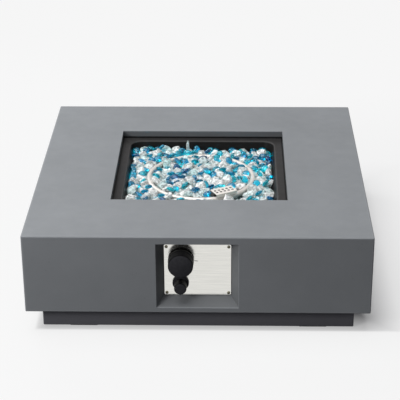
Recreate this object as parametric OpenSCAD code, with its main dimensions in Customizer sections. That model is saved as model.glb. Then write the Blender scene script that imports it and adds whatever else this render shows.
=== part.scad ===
// Low square fire pit table. A hollow concrete body stands on a recessed plinth. A steel pan hangs in
// the body's top and holds a ring burner in fire glass. A splayed recess in the front holds the controls.
// Millimetres, +Z up. The origin is on the floor under the body's middle, and the front faces -Y.

/* [Body] */
// Width of the body from side to side
body_w = 711; // [640:1:820]
// Depth of the body from front to back
body_d = 711; // [680:1:820]
// Height of the body above the plinth
body_h = 174.5; // [172:0.5:210]
// Thickness of the body's walls
wall_t = 20; // [15:1:25]
// Thickness of the table top
top_t = 32; // [28:1:38]
// Easing of the concrete's edges
edge_ease = 2; // [1:0.5:3]
// Radius of the concrete's upright corners
corner_r = 3; // [1:0.5:6]
// Width of the opening in the top
opening_w = 376; // [350:1:440]
// Depth of the opening in the top
opening_d = 376.7; // [350:0.1:400]
// Distance of the opening's middle behind the body's middle
opening_back = 7.3; // [0:0.1:15]
// Width of the ledge that carries the pan's flange
ledge_w = 12; // [9:0.5:13]
// Side of the bosses inside the corners
boss_w = 72; // [60:1:90]
// Height of the bosses inside the corners
boss_h = 60; // [40:1:80]

/* [Plinth] */
// Height of the plinth
plinth_h = 49.5; // [44:0.5:80]
// Distance of the plinth inside the body's sides
plinth_inset = 31; // [26:1:40]
// Thickness of the plinth's frame
plinth_t = 26; // [24:1:36]
// Thickness of the foot pads
pad_h = 1.5; // [1:0.5:4]
// Length of a foot pad
pad_l = 60; // [40:1:90]
// Width of a foot pad
pad_w = 20; // [14:1:21]
// Distance of a pad's middle from the plinth's side
pad_in = 85; // [70:1:120]
// Radius of the bolts that hold the plinth
bolt_r = 4; // [3:0.5:5]
// Depth of the bolts in the body's bosses
bolt_grip = 26; // [15:1:35]
// Radius of the hose hole through the grommet
hose_r = 9; // [6:0.5:11]

/* [Control recess] */
// Width of the recess at the front face
recess_w = 169; // [155:1:200]
// Height of the recess at the front face
recess_h = 147; // [130:1:150]
// Depth of the recess to the plate's back
recess_depth = 31; // [28:0.5:40]
// Distance of the recess's middle below the table top
recess_drop = 89.9; // [85:0.1:92]
// Thickness of the concrete round the recess
surround_t = 14; // [10:1:16]
// Width of the control plate
plate_w = 137; // [130:1:145]
// Height of the control plate
plate_h = 116; // [112:1:120]
// Thickness of the control plate
plate_t = 1.5; // [1:0.1:2.5]
// Radius of the control plate's corners
plate_r = 3; // [1:0.5:5]
// Gap round the control plate
plate_gap = 0.8; // [0.4:0.1:2]
// Distance of the plate screws from the plate's edges
plate_screw_in = 4.8; // [4.5:0.1:5.6]
// Radius of a plate screw's head
plate_screw_r = 3.3; // [2.4:0.1:3.4]

/* [Pan and burner] */
// Distance of the pan's flange below the table top
flange_drop = 16; // [12:0.5:18]
// Gap between the flange and the opening
pan_gap = 2.5; // [1:0.1:4]
// Thickness of the pan's sheet
pan_t = 1.2; // [0.8:0.1:2]
// Width of the flange's flat
flange_w = 14.5; // [12.5:0.5:18]
// Radius of the rolled lip
lip_r = 5; // [3:0.5:7]
// Radius of the well's corners at the mouth
mouth_r = 25; // [24:0.5:40]
// Draft of the well's walls in degrees
wall_a = 18; // [8:1:20]
// Depth of the well below the flange
pan_depth = 48; // [44:1:52]
// Radius between the well's walls and its floor
bend_r = 6; // [3:0.5:8]
// Outer diameter of the ring burner
ring_d = 246; // [220:1:260]
// Diameter of the ring's tube
ring_tube = 12; // [10:0.5:14]
// Wall of the ring's tube
ring_wall = 1.2; // [0.8:0.1:1.6]
// Distance of the ring's middle below the table top
ring_drop = 35; // [33:0.5:38]
// Number of gas ports in the ring
port_n = 36; // [24:1:48]
// Radius of a gas port
port_r = 1.2; // [0.8:0.1:1.5]
// Radius of the feed stub
stub_r = 8; // [7:0.5:10]

/* [Ignition shield] */
// Direction of the shield on the ring in degrees
shield_a = -61.2; // [-70:0.1:-50]
// Length of the shield along the ring
shield_l = 51; // [46:1:60]
// Width of the shield across the ring
shield_w = 30; // [29:0.5:34]
// Distance of the shield's middle inside the ring's middle line
shield_in = 9.4; // [8:0.1:10]
// Distance of the shield's top below the table top
shield_drop = 21; // [19:0.5:22]
// Thickness of the shield's sheet
shield_t = 1; // [0.6:0.1:1.2]
// Radius of a hole in the shield's top
shield_hole_r = 1.9; // [1.4:0.1:2.4]
// Spacing of the holes in the shield's top
shield_pitch = 9.5; // [7:0.1:10]

/* [Controls] */
// Distance of the knob's axis left of the plate's middle
knob_left = 34; // [30:0.5:36]
// Distance of the knob's axis below the plate's upper edge
knob_in = 35.1; // [33:0.1:36]
// Diameter of the knob's front
knob_d = 51.5; // [44:0.5:52]
// Diameter of the knob's skirt
skirt_d = 53; // [53:0.5:56]
// Length of the knob
knob_l = 29; // [26:0.5:32]
// Rise of the knob's face towards its middle
face_rise = 3; // [1:0.1:4]
// Number of grooves round the knob's grip
groove_n = 3; // [1:1:4]
// Width of a groove round the knob's grip
groove_w = 2.6; // [1:0.1:4]
// Depth of a groove round the knob's grip
groove_d = 1.2; // [0.4:0.1:1.6]
// Distance of the knob's front from the plate
knob_reach = 34.5; // [34:0.5:42]
// Travel of the knob when it is pushed in
push_travel = 4; // [2:0.5:4]
// Radius of the valve's stem
stem_r = 3.5; // [3:0.1:3.8]
// Distance of the button's axis left of the plate's middle
button_left = 35; // [30:0.5:38]
// Distance of the button's axis above the plate's lower edge
button_in = 28.6; // [24:0.1:29]
// Diameter of the igniter's button
button_d = 25.5; // [22.5:0.5:26]
// Diameter of the igniter's bezel
bezel_d = 34; // [31:0.2:36]
// Distance of the button's front from the plate
button_reach = 31; // [28:0.5:33]
// Travel of the button
button_travel = 4; // [2:0.5:4]
// Radius of the gas inlet's flare thread
inlet_r = 7.94; // [6:0.01:8.5]

/* [Fire glass] */
// Distance of the bed's top below the table top
bed_drop = 44.5; // [44:0.5:48]
// Spacing of the pieces in the top layer
glass_pitch = 20; // [18:0.5:24]
// Least height of a clear lump
lump_low = 11; // [9:0.5:12]
// Greatest height of a clear lump
lump_high = 16; // [13:0.5:16.5]
// Thickness of a blue bead
bead_t = 8; // [6:0.5:9]
// Share of blue beads in the top layer
blue_share = 0.36; // [0:0.01:1]
// Seed of the glass's places and shapes
glass_seed = 7; // [1:1:99]

/* [Hidden] */
$fn = 64;
// Fits and small clearances
over = 1;
run_gap = 0.05;
slip_gap = 0.2;
seat_gap = 0.3;
bed_gap = 0.5;
// Hex heads: corner radius and height over the thread's radius
hex_ratio = 1.75;
head_ratio = 1.4;

// Levels and planes of the body
z_plinth = pad_h;
z_body = pad_h + plinth_h;
z_top = z_body + body_h;
front_y = -body_d / 2;
cavity_h = body_h - top_t;
plinth_w = body_w - 2 * plinth_inset;
plinth_d = body_d - 2 * plinth_inset;
bolt_x = plinth_w / 2 - plinth_t / 2;
bolt_y = plinth_d / 2 - plinth_t / 2;
bolt_head_r = hex_ratio * bolt_r;
bolt_head_h = head_ratio * bolt_r;
bolt_cover = 4;
bolt_sink = bolt_head_h + bolt_cover;
pad_r = 4;
gland_wall = 5;
gland_r = hose_r + gland_wall;
gland_rim = 4;
gland_lip = 2.5;
gland_z = z_plinth + plinth_h / 2;

// Control recess
recess_z = z_top - recess_drop;
plate_y = front_y + recess_depth;
recess_back_w = plate_w + 2 * plate_gap;
recess_back_h = plate_h + 2 * plate_gap;
land_side = 9.5;
land_end = 8.5;
window_w = plate_w - 2 * land_side;
window_h = plate_h - 2 * land_end;
plate_screw_x = plate_w / 2 - plate_screw_in;
plate_screw_z = plate_h / 2 - plate_screw_in;
plate_screw_h = 1.8;
plate_screw_l = 11;
plate_shank_r = 1.7;

// Pan
pan_top = z_top - flange_drop;
pan_floor = pan_top - pan_depth;
pan_under = pan_floor - pan_t;
pan_w = opening_w - 2 * pan_gap;
pan_d = opening_d - 2 * pan_gap;
lip_c = [mouth_r + lip_r, -lip_r];
well_x = pan_w / 2 - flange_w - lip_c[0];
well_y = pan_d / 2 - flange_w - lip_c[0];
wall_top = lip_c + lip_r * [-cos(wall_a), sin(wall_a)];
wall_end_v = bend_r - pan_depth - bend_r * sin(wall_a);
wall_end_u = wall_top[0] - (wall_top[1] - wall_end_v) * tan(wall_a);
bend_c = [wall_end_u - bend_r * cos(wall_a), bend_r - pan_depth];
drain_r = 4;
drain_in = 28;

// Ring burner and what hangs under the pan
ring_z = z_top - ring_drop;
ring_r = (ring_d - ring_tube) / 2;
ring_under = ring_z - ring_tube / 2;
stub_top = ring_z - ring_tube / 4;
stub_wall = 1.5;
stub_rim = 6;
stub_collar_r = stub_r + stub_rim;
stub_collar_h = 3;
stub_a = acos(knob_left / ring_r) - 180;
stub_pos = [ring_r * cos(stub_a), opening_back + ring_r * sin(stub_a)];
leg_w = 16;
leg_t = 3;
leg_foot = 12;
locknut_h = 6;
stub_engage = 10;
mixer_top = pan_under - locknut_h;
mixer_r = stub_r + 3.5;
mixer_l = 40;
mixer_base = 6;
mixer_bore = stub_r - 0.5;
mixer_window_z = mixer_base + 3;
stub_end = mixer_top - stub_engage;
jet_r = 5;
jet_hex_r = 8;
jet_hex_h = 6;
jet_bore = 2;
jet_hole = 0.8;
jet_nose_l = 4;
male_l = 9;
jet_end = mixer_top - mixer_l - jet_hex_h - male_l;
pipe_r = 4;
pipe_bend = 18;
nut_r = 8.5;
nut_l = 14;
nut_grip = male_l - 1;

// Shield, electrode and thermocouple, measured along the shield's own direction
shield_top = z_top - shield_drop;
shield_x0 = ring_r - shield_in - shield_w / 2;
shield_x1 = shield_x0 + shield_w;
shield_foot = 12;
shelf_z = ring_under - 6;
shelf_l = 32;
shelf_t = 1.5;
shelf_edge = 6;
bracket_h = 13;
bracket_screw_z = [3.5, 10];
pilot_in = 4.6;
pilot_x = shield_x0 + shield_t + shelf_t + pilot_in;
pilot_y = 10;
insulator_r = 3.5;
insulator_top = shelf_z + 10;
insulator_end = pan_under - 10;
probe_r = 3;
probe_top = shelf_z + 13;
probe_end = pan_under - 8;
shoulder_w = 0.8;
shoulder_h = 3;
rod_r = 1;
rod_rise = 5;
rod_gap = 4.5;
small_screw_r = 1.45;
small_head_r = 2.8;
small_head_h = 2;
small_screw_l = 6;
small_screw_past = 1.5;

// Valve and knob, measured backwards from the plate's back face
knob_z = recess_z + plate_h / 2 - knob_in;
valve_r = 16;
valve_l = 66;
valve_screw_at = 14;
valve_screw_r = 1.9;
valve_screw_l = 10;
valve_hole_l = 12;
valve_head_r = 3.4;
valve_head_h = 2.2;
valve_ear_r = 8;
valve_flange_h = 4;
nose_r = 9;
nose_h = 2;
inlet_at = 60.5;
inlet_side = 20;
inlet_boss_r = 9;
inlet_arm_r = 8;
inlet_hex_r = inlet_r + 2;
inlet_bore = 2.5;
inlet_relief = 0.8;
inlet_drop = 20;
inlet_hex_h = 8;
inlet_thread_l = 14;
inlet_nose_l = 4;
inlet_nose_r = inlet_r - inlet_relief;
inlet_tip_r = inlet_nose_r - 3.2;
magnet_r = 8;
magnet_side = valve_r + magnet_r - 1;
magnet_end = 60;
magnet_nut_r = magnet_r - 1.5;
magnet_nut_h = 10;
outlet_collar_r = jet_r + 2;
outlet_collar_h = 3;
outlet_end = valve_l + outlet_collar_h + male_l;
sleeve_r = stem_r + 1.5;
sleeve_collar_r = sleeve_r + 1.5;
sleeve_collar_h = 2;
nose_front = -plate_t - nose_h;
sleeve_front = nose_front - push_travel - seat_gap - sleeve_collar_h;
sleeve_end = 14;
stem_end = sleeve_end - 4;
valve_spring_l = push_travel + 4;
valve_spring_r = sleeve_r - 0.8;
valve_wire_r = 0.35;
spring_turns = 4;
flat_depth = 1;
knob_front = -plate_t - knob_reach;
knob_face_t = 3;
knob_wall = 3;
knob_edge_r = 3.5;
knob_edge_n = 6;
face_n = 6;
knob_r = knob_d / 2;
skirt_h = 5;
skirt_ease = 1;
face_r = knob_r - knob_edge_r;
face_ball = (face_r * face_r + face_rise * face_rise) / 2 / face_rise;
face_a = asin(face_r / (face_ball - knob_edge_r));
edge_z = knob_l - face_ball + (face_ball - knob_edge_r) * cos(face_a);
grip_l = edge_z - skirt_h;
hub_r = stem_r + 4;
hub_gap = 0.7;
hub_back = sleeve_front - hub_gap;
stem_tip_gap = 1;
stem_front = knob_front + face_rise + knob_face_t + stem_tip_gap;

// Igniter, measured backwards from the plate's back face
button_z = recess_z - plate_h / 2 + button_in;
bezel_h = 5;
bezel_ease = 1.5;
collar_r = button_d / 2 - 2;
collar_l = 12;
barrel_r = 11;
barrel_l = 30;
battery_r = 5.25;
battery_l = 44.5;
battery_bore = battery_r + slip_gap;
battery_tip_r = 1.75;
battery_tip_h = 1;
battery_front = -plate_t - bezel_h - collar_l + battery_tip_h;
cap_h = 4;
cap_plug = 2;
tab_x = 5;
tab_w = 6.3;
tab_t = 0.8;
tab_l = 8;
button_front = -plate_t - button_reach;
button_face_t = 3.5;
button_gap = 0.5;
button_back = -plate_t - bezel_h - button_travel - button_gap;
button_wire_r = 0.45;
button_edge_r = 3;
igniter_nut_h = 5;
igniter_nut_r = 15.5;

// Fire glass
bed_top = z_top - bed_drop;
bed_wall_u = wall_top[0] - (wall_top[1] + bed_drop - flange_drop) * tan(wall_a);
pocket_gap = 2;
pocket_back = shield_foot + pocket_gap;
glass_jitter = 1;
glass_r = glass_pitch / 2 - glass_jitter - seat_gap;
lump_sides = 5;
lump_rough = 0.72;
bead_tilt = 30;

// Box centred on X and Y that stands on its base
module block(w, d, h) {
  translate([-w / 2, -d / 2, 0]) cube([w, d, h]);
}

// Rectangle with round corners
module round_rect(w, d, r) {
  square([w - 2 * r, d], center = true);
  square([w, d - 2 * r], center = true);
  for (sx = [-1, 1], sy = [-1, 1]) {
    translate([sx * (w / 2 - r), sy * (d / 2 - r)]) circle(r);
  }
}

// Upright section of a box with eased top and bottom edges
module eased_section(w, h) {
  x = w / 2;
  e = edge_ease;
  polygon([[e - x, 0], [x - e, 0], [x, e], [x, h - e], [x - e, h], [e - x, h], [-x, h - e], [-x, e]]);
}

// Concrete box with eased edges and round upright corners
module eased_box(w, d, h) {
  intersection() {
    linear_extrude(h) round_rect(w, d, corner_r);
    rotate([90, 0, 0]) linear_extrude(d + over, center = true) eased_section(w, h);
    rotate([90, 0, 90]) linear_extrude(w + over, center = true) eased_section(d, h);
  }
}

// Ring with a round section
module torus(ring, tube) {
  rotate_extrude() translate([ring, 0]) circle(tube);
}

// Points of an arc
function arc(c, r, a0, a1, n = 5) =
  [for (i = [0 : n]) let (a = a0 + (a1 - a0) * i / n) c + r * [cos(a), sin(a)]];

// Carries a section, drawn outwards from a corner's middle, round a rectangle of corner middles
module around_corners(hx, hy) {
  for (k = [0 : 3]) {
    across = k % 2 == 0 ? hx : hy;
    along = k % 2 == 0 ? hy : hx;
    rotate(90 * k) translate([across, along, 0]) rotate_extrude(angle = 90) children();
    rotate(90 * k) translate([across, along, 0]) rotate([90, 0, 0]) linear_extrude(2 * along) children();
  }
}

// Places with local Z running backwards from the plate's back face, and local Y running down
module behind_plate(x, z) {
  translate([x, plate_y, z]) rotate([-90, 0, 0]) children();
}

module at_knob() {
  behind_plate(-knob_left, knob_z) children();
}

module at_button() {
  behind_plate(-button_left, button_z) children();
}

// Places with local X running outwards over the ring at the shield
module at_shield() {
  translate([0, opening_back, 0]) rotate(shield_a) children();
}

function shield_point(x, y, z) =
  [x * cos(shield_a) - y * sin(shield_a), opening_back + x * sin(shield_a) + y * cos(shield_a), z];

// Tube along a path with round bends
function unit(v) = v / norm(v);
function turn_angle(a, b) = acos(max(-1, min(1, a * b)));

module tube_run(p, q, r) {
  d = unit(q - p);
  side = abs(d[2]) > 0.9 ? unit(cross([0, 1, 0], d)) : unit(cross([0, 0, 1], d));
  up = cross(d, side);
  multmatrix([
    [side[0], up[0], d[0], p[0]],
    [side[1], up[1], d[1], p[1]],
    [side[2], up[2], d[2], p[2]],
    [0, 0, 0, 1]
  ]) cylinder(r = r, h = norm(q - p));
}

module tube_bend(p, d1, d2, bend, r) {
  a = turn_angle(d1, d2);
  start = p - d1 * bend * tan(a / 2);
  c = p + unit(d2 - d1) * bend / cos(a / 2);
  e = unit(start - c);
  n = cross(e, d1);
  multmatrix([
    [e[0], d1[0], n[0], c[0]],
    [e[1], d1[1], n[1], c[1]],
    [e[2], d1[2], n[2], c[2]],
    [0, 0, 0, 1]
  ]) rotate_extrude(angle = a) translate([bend, 0]) circle(r);
}

module bent_tube(points, r, bend) {
  n = len(points);
  d = [for (i = [0 : n - 2]) unit(points[i + 1] - points[i])];
  cut = [for (i = [0 : n - 1]) i == 0 || i == n - 1 ? 0 : bend * tan(turn_angle(d[i - 1], d[i]) / 2)];
  for (i = [0 : n - 2]) tube_run(points[i] + d[i] * cut[i], points[i + 1] - d[i] * cut[i + 1], r);
  for (i = [1 : n - 2]) tube_bend(points[i], d[i - 1], d[i], bend, r);
}

// Coil spring that stands on its base
module coil(r, wire_r, length, turns) {
  sides = 6;
  steps = turns * 12;
  rise = length - 2 * wire_r;
  points = [
    for (i = [0 : steps], k = [0 : sides - 1])
      let (a = 360 * turns * i / steps, b = 360 * k / sides, u = r + wire_r * cos(b))
        [u * cos(a), u * sin(a), wire_r + rise * i / steps + wire_r * sin(b)]
  ];
  skin = [
    for (i = [0 : steps - 1], k = [0 : sides - 1], half = [0, 1])
      let (m = (k + 1) % sides, p = i * sides, q = p + sides)
        half == 0 ? [p + k, q + k, p + m] : [q + k, q + m, p + m]
  ];
  last = steps * sides;
  caps = [
    for (k = [1 : sides - 2], end = [0, 1])
      end == 0 ? [0, k, k + 1] : [last, last + k + 1, last + k]
  ];
  polyhedron(points, concat(skin, caps));
}

// Round-headed screw with its seat at z = 0 and its shank downwards
module screw(head_r, head_h, shank_r, shank_l) {
  cylinder(r1 = head_r, r2 = 0.7 * head_r, h = head_h);
  translate([0, 0, -shank_l]) cylinder(r = shank_r, h = shank_l + head_h / 2);
}

module hex(r, h) {
  cylinder(r = r, h = h, $fn = 6);
}

// Splayed pocket that widens towards the front face
function splay(front, back) =
  let (mouth = front / 2 + over * (front - back) / 2 / recess_depth)
    [[-mouth, -over], [mouth, -over], [back / 2, recess_depth], [-back / 2, recess_depth]];

module recess_pocket() {
  intersection() {
    linear_extrude(2 * recess_h, center = true) polygon(splay(recess_w, recess_back_w));
    rotate([90, 0, 90]) linear_extrude(2 * recess_w, center = true)
      polygon([for (p = splay(recess_h, recess_back_h)) [p[1], p[0]]]);
  }
}

module at_plate_screws() {
  for (sx = [-1, 1], sz = [-1, 1]) {
    behind_plate(sx * plate_screw_x, recess_z + sz * plate_screw_z) children();
  }
}

module at_bolts() {
  for (sx = [-1, 1], sy = [-1, 1]) translate([sx * bolt_x, sy * bolt_y, 0]) children();
}

module concrete_shell() {
  surround_w = recess_back_w + 2 * surround_t;
  surround_h = recess_back_h + 2 * surround_t;
  surround_y = front_y + wall_t / 2;
  surround_d = plate_y + surround_t - surround_y;
  color("slategray") difference() {
    union() {
      difference() {
        translate([0, 0, z_body]) eased_box(body_w, body_d, body_h);
        translate([0, 0, z_body - over]) block(body_w - 2 * wall_t, body_d - 2 * wall_t, cavity_h + over);
      }
      for (sx = [-1, 1], sy = [-1, 1]) {
        translate([sx * (body_w - wall_t - boss_w) / 2, sy * (body_d - wall_t - boss_w) / 2, z_body])
          block(boss_w, boss_w, boss_h);
      }
      translate([0, surround_y + surround_d / 2, recess_z - surround_h / 2])
        block(surround_w, surround_d, surround_h);
    }
    translate([0, opening_back, pan_top - pan_t]) block(opening_w, opening_d, flange_drop + pan_t + over);
    translate([0, opening_back, z_body + cavity_h - over])
      block(opening_w - 2 * ledge_w, opening_d - 2 * ledge_w, top_t);
    translate([0, front_y, recess_z]) recess_pocket();
    translate([0, plate_y + surround_t / 2, recess_z - window_h / 2])
      block(window_w, surround_t + 2 * over, window_h);
    at_plate_screws() translate([0, 0, -over])
      cylinder(r = plate_shank_r + slip_gap, h = plate_screw_l + over);
    translate([0, 0, z_body - over]) at_bolts() cylinder(r = bolt_r + slip_gap, h = bolt_grip + 2 * over);
  }
}

module plinth() {
  color("dimgray") difference() {
    translate([0, 0, z_plinth]) eased_box(plinth_w, plinth_d, plinth_h);
    translate([0, 0, z_plinth - over]) {
      block(plinth_w - 2 * plinth_t, plinth_d - 2 * plinth_t, plinth_h + 2 * over);
      at_bolts() cylinder(r = bolt_r + slip_gap, h = plinth_h + 2 * over);
      at_bolts() cylinder(r = bolt_head_r + over, h = bolt_sink + over);
    }
    translate([0, plinth_d / 2 + over, gland_z]) rotate([90, 0, 0])
      cylinder(r = gland_r + slip_gap, h = plinth_t + 2 * over);
  }
}

module foot_pads() {
  color("black") for (sx = [-1, 1], sy = [-1, 1]) {
    translate([sx * (plinth_w / 2 - pad_in), sy * bolt_y, 0])
      linear_extrude(pad_h) round_rect(pad_l, pad_w, pad_r);
  }
}

module plinth_bolts() {
  color("silver") translate([0, 0, z_plinth + bolt_sink]) at_bolts() {
    translate([0, 0, -bolt_head_h]) hex(bolt_head_r, bolt_head_h);
    translate([0, 0, -bolt_head_h / 2])
      cylinder(r = bolt_r, h = plinth_h - bolt_sink + bolt_grip + bolt_head_h / 2);
  }
}

module hose_grommet() {
  color("black") translate([0, plinth_d / 2 - plinth_t / 2, gland_z]) rotate([90, 0, 0]) difference() {
    union() {
      cylinder(r = gland_r, h = plinth_t + 2 * gland_lip, center = true);
      for (s = [-1, 1]) {
        translate([0, 0, s * (plinth_t + gland_lip) / 2])
          cylinder(r = gland_r + gland_rim, h = gland_lip, center = true);
      }
    }
    cylinder(r = hose_r, h = plinth_t + 4 * gland_lip, center = true);
  }
}

// Section of the pan's sheet from the lip to the floor
module pan_section() {
  polygon(concat(
    arc(lip_c, lip_r, 90, 180 - wall_a),
    arc(bend_c, bend_r, -wall_a, -90),
    arc(bend_c, bend_r + pan_t, -90, -wall_a),
    arc(lip_c, lip_r - pan_t, 180 - wall_a, 90)
  ));
}

module pan_floor_holes() {
  translate(stub_pos) cylinder(r = stub_r + slip_gap, h = pan_depth, center = true);
  at_shield() {
    translate([pilot_x, -pilot_y]) cylinder(r = insulator_r + slip_gap, h = pan_depth, center = true);
    translate([pilot_x, pilot_y]) cylinder(r = probe_r + slip_gap, h = pan_depth, center = true);
    shield_foot_screws() cylinder(r = small_screw_r + slip_gap, h = pan_depth, center = true);
  }
  for (sx = [-1, 1], sy = [-1, 1]) {
    translate([sx * (well_x - drain_in), opening_back + sy * (well_y - drain_in)])
      cylinder(r = drain_r, h = pan_depth, center = true);
  }
}

module burner_pan() {
  color([0.13, 0.13, 0.13]) difference() {
    translate([0, opening_back, pan_top]) {
      around_corners(well_x, well_y) pan_section();
      translate([0, 0, -pan_t]) linear_extrude(pan_t) difference() {
        round_rect(pan_w, pan_d, lip_r);
        round_rect(2 * (well_x + lip_c[0]), 2 * (well_y + lip_c[0]), lip_c[0]);
      }
      translate([0, 0, -pan_depth - pan_t]) linear_extrude(pan_t)
        round_rect(2 * (well_x + bend_c[0]), 2 * (well_y + bend_c[0]), bend_c[0]);
    }
    translate([0, 0, pan_floor]) pan_floor_holes();
  }
}

module burner_ring() {
  color("gainsboro") difference() {
    union() {
      translate([0, opening_back, ring_z]) torus(ring_r, ring_tube / 2);
      translate([stub_pos[0], stub_pos[1], stub_end]) cylinder(r = stub_r, h = stub_top - stub_end);
      translate([stub_pos[0], stub_pos[1], pan_floor]) cylinder(r = stub_collar_r, h = stub_collar_h);
    }
    translate([0, opening_back, ring_z]) torus(ring_r, ring_tube / 2 - ring_wall);
    translate([stub_pos[0], stub_pos[1], stub_end]) {
      translate([0, 0, -over]) cylinder(r = stub_r - stub_wall, h = ring_under - stub_end - over);
      cylinder(r = ring_tube / 2 - 2 * ring_wall, h = ring_z - stub_end);
    }
    for (k = [0 : port_n - 1]) {
      translate([0, opening_back, ring_z]) rotate(360 * (k + 0.5) / port_n) translate([ring_r, 0, 0])
        rotate([0, -45, 0]) cylinder(r = port_r, h = ring_tube, $fn = 24);
    }
  }
}

module ring_legs() {
  color("silver") for (k = [1, 2]) {
    difference() {
      translate([0, opening_back, pan_floor]) rotate(stub_a + 120 * k) translate([ring_r, 0, 0]) {
        block(leg_w, leg_t, ring_z - ring_tube / 4 - pan_floor);
        block(leg_w, leg_foot, leg_t / 2);
      }
      translate([0, opening_back, ring_z]) torus(ring_r, ring_tube / 2 + slip_gap / 2);
    }
  }
}

module burner_locknut() {
  color("goldenrod") translate([stub_pos[0], stub_pos[1], mixer_top]) difference() {
    hex(stub_r + stub_rim, locknut_h);
    translate([0, 0, -over]) cylinder(r = stub_r + run_gap, h = locknut_h + 2 * over);
  }
}

module air_mixer() {
  color("darkgray") translate([stub_pos[0], stub_pos[1], mixer_top - mixer_l]) difference() {
    cylinder(r = mixer_r, h = mixer_l);
    translate([0, 0, mixer_l - stub_engage]) cylinder(r = stub_r + run_gap, h = stub_engage + over);
    translate([0, 0, mixer_base]) cylinder(r = mixer_bore, h = mixer_l);
    translate([0, 0, -over]) cylinder(r = jet_r + run_gap, h = mixer_base + 2 * over);
    for (a = [0, 90]) {
      rotate(a) translate([0, 0, mixer_window_z])
        block(2 * mixer_r + over, stub_r, (mixer_l - stub_engage) / 2);
    }
  }
}

module gas_jet() {
  color("goldenrod") translate([stub_pos[0], stub_pos[1], jet_end]) difference() {
    union() {
      cylinder(r = jet_r, h = male_l + jet_hex_h + mixer_base);
      translate([0, 0, male_l]) hex(jet_hex_r, jet_hex_h);
      translate([0, 0, male_l + jet_hex_h + mixer_base])
        cylinder(r1 = 2 * jet_bore, r2 = 1.5 * jet_bore, h = jet_nose_l);
    }
    translate([0, 0, -over]) cylinder(r = jet_bore, h = male_l + jet_hex_h);
    cylinder(r = jet_hole, h = male_l + jet_hex_h + mixer_base + jet_nose_l + over, $fn = 24);
  }
}

// Route of the gas pipe, down from the valve and up into the jet
pipe_low = jet_end - nut_l - pipe_bend;
pipe_run = 42;
pipe_turn_y = plate_y + outlet_end + pipe_run;
pipe_route = [
  [-knob_left, plate_y + outlet_end, knob_z],
  [-knob_left, pipe_turn_y, knob_z],
  [-knob_left, pipe_turn_y, pipe_low],
  [stub_pos[0], stub_pos[1], pipe_low],
  [stub_pos[0], stub_pos[1], jet_end]
];

module gas_pipe() {
  color("silver") bent_tube(pipe_route, pipe_r, pipe_bend);
}

// Nut that holds a pipe on a male end, with its open end at z = 0
module flare_nut() {
  difference() {
    hex(nut_r, nut_l);
    translate([0, 0, -over]) cylinder(r = jet_r + run_gap, h = nut_grip + over);
    cylinder(r = pipe_r + run_gap, h = nut_l + over);
  }
}

module pipe_nuts() {
  color("goldenrod") {
    translate([stub_pos[0], stub_pos[1], jet_end + nut_grip]) rotate([180, 0, 0]) flare_nut();
    at_knob() translate([0, 0, outlet_end - nut_grip]) flare_nut();
  }
}

module shield_section() {
  translate([shield_x0, shield_top - shield_t]) square([shield_w, shield_t]);
  translate([shield_x0, pan_floor]) square([shield_t, shield_top - pan_floor]);
  translate([shield_x0 - shield_foot, pan_floor]) square([shield_foot + shield_t, shield_t]);
  translate([shield_x1 - shield_t, ring_z + ring_tube / 2 + seat_gap])
    square([shield_t, shield_top - ring_z - ring_tube / 2 - seat_gap]);
}

module shield_foot_screws() {
  for (s = [-1, 1]) translate([shield_x0 - shield_foot / 2, s * shield_l / 3, 0]) children();
}

module shield_bracket_screws() {
  for (z = bracket_screw_z) translate([shield_x0, 0, shelf_z + z]) rotate([0, -90, 0]) children();
}

module ignition_shield() {
  color("whitesmoke") at_shield() difference() {
    translate([0, shield_l / 2, 0]) rotate([90, 0, 0]) linear_extrude(shield_l) shield_section();
    for (i = [-2 : 2], j = [-0.5, 0.5]) {
      translate([(shield_x0 + shield_x1) / 2 + j * shield_pitch, i * shield_pitch, shield_top - 2 * shield_t])
        cylinder(r = shield_hole_r, h = 3 * shield_t);
    }
    translate([0, 0, pan_floor - over])
      shield_foot_screws() cylinder(r = small_screw_r + slip_gap, h = 3 * over);
    shield_bracket_screws() cylinder(r = small_screw_r + slip_gap, h = 4 * shield_t, center = true);
  }
}

module pilot_bracket() {
  tab_x0 = shield_x0 + shield_t;
  color("silver") at_shield() difference() {
    union() {
      translate([tab_x0, -shelf_l / 2, shelf_z - shelf_t]) {
        cube([shelf_t, shelf_l, shelf_t + bracket_h]);
        cube([pilot_x - tab_x0 + shelf_edge, shelf_l, shelf_t]);
      }
    }
    translate([pilot_x, 0, shelf_z]) {
      translate([0, -pilot_y, 0]) cylinder(r = insulator_r + slip_gap, h = 4 * shelf_t, center = true);
      translate([0, pilot_y, 0]) cylinder(r = probe_r + slip_gap, h = 4 * shelf_t, center = true);
    }
    shield_bracket_screws()
      cylinder(r = small_screw_r + slip_gap, h = 4 * (shield_t + shelf_t), center = true);
  }
}

module shield_screws() {
  color("gray") at_shield() {
    translate([0, 0, pan_floor + shield_t])
      shield_foot_screws() screw(small_head_r, small_head_h, small_screw_r, small_screw_l);
    shield_bracket_screws()
      screw(small_head_r, small_head_h, small_screw_r, shield_t + shelf_t + small_screw_past);
  }
}

module electrode_insulator() {
  color("white") at_shield() translate([pilot_x, -pilot_y, 0]) {
    translate([0, 0, insulator_end]) cylinder(r = insulator_r, h = insulator_top - insulator_end);
    translate([0, 0, shelf_z]) cylinder(r = insulator_r + shoulder_w, h = shoulder_h);
  }
}

module electrode_rod() {
  tip_x = ring_r - ring_tube / 2 - rod_gap;
  color("dimgray") at_shield() bent_tube([
    [pilot_x, -pilot_y, insulator_top],
    [pilot_x, -pilot_y, insulator_top + rod_rise],
    [tip_x, -pilot_y, insulator_top + rod_rise]
  ], rod_r, 2 * rod_r);
}

module thermocouple() {
  color("peru") at_shield() translate([pilot_x, pilot_y, 0]) {
    translate([0, 0, probe_end]) cylinder(r = probe_r, h = probe_top - probe_end);
    translate([0, 0, shelf_z]) cylinder(r = probe_r + shoulder_w, h = shoulder_h);
    translate([0, 0, probe_top]) sphere(probe_r);
  }
}

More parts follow.
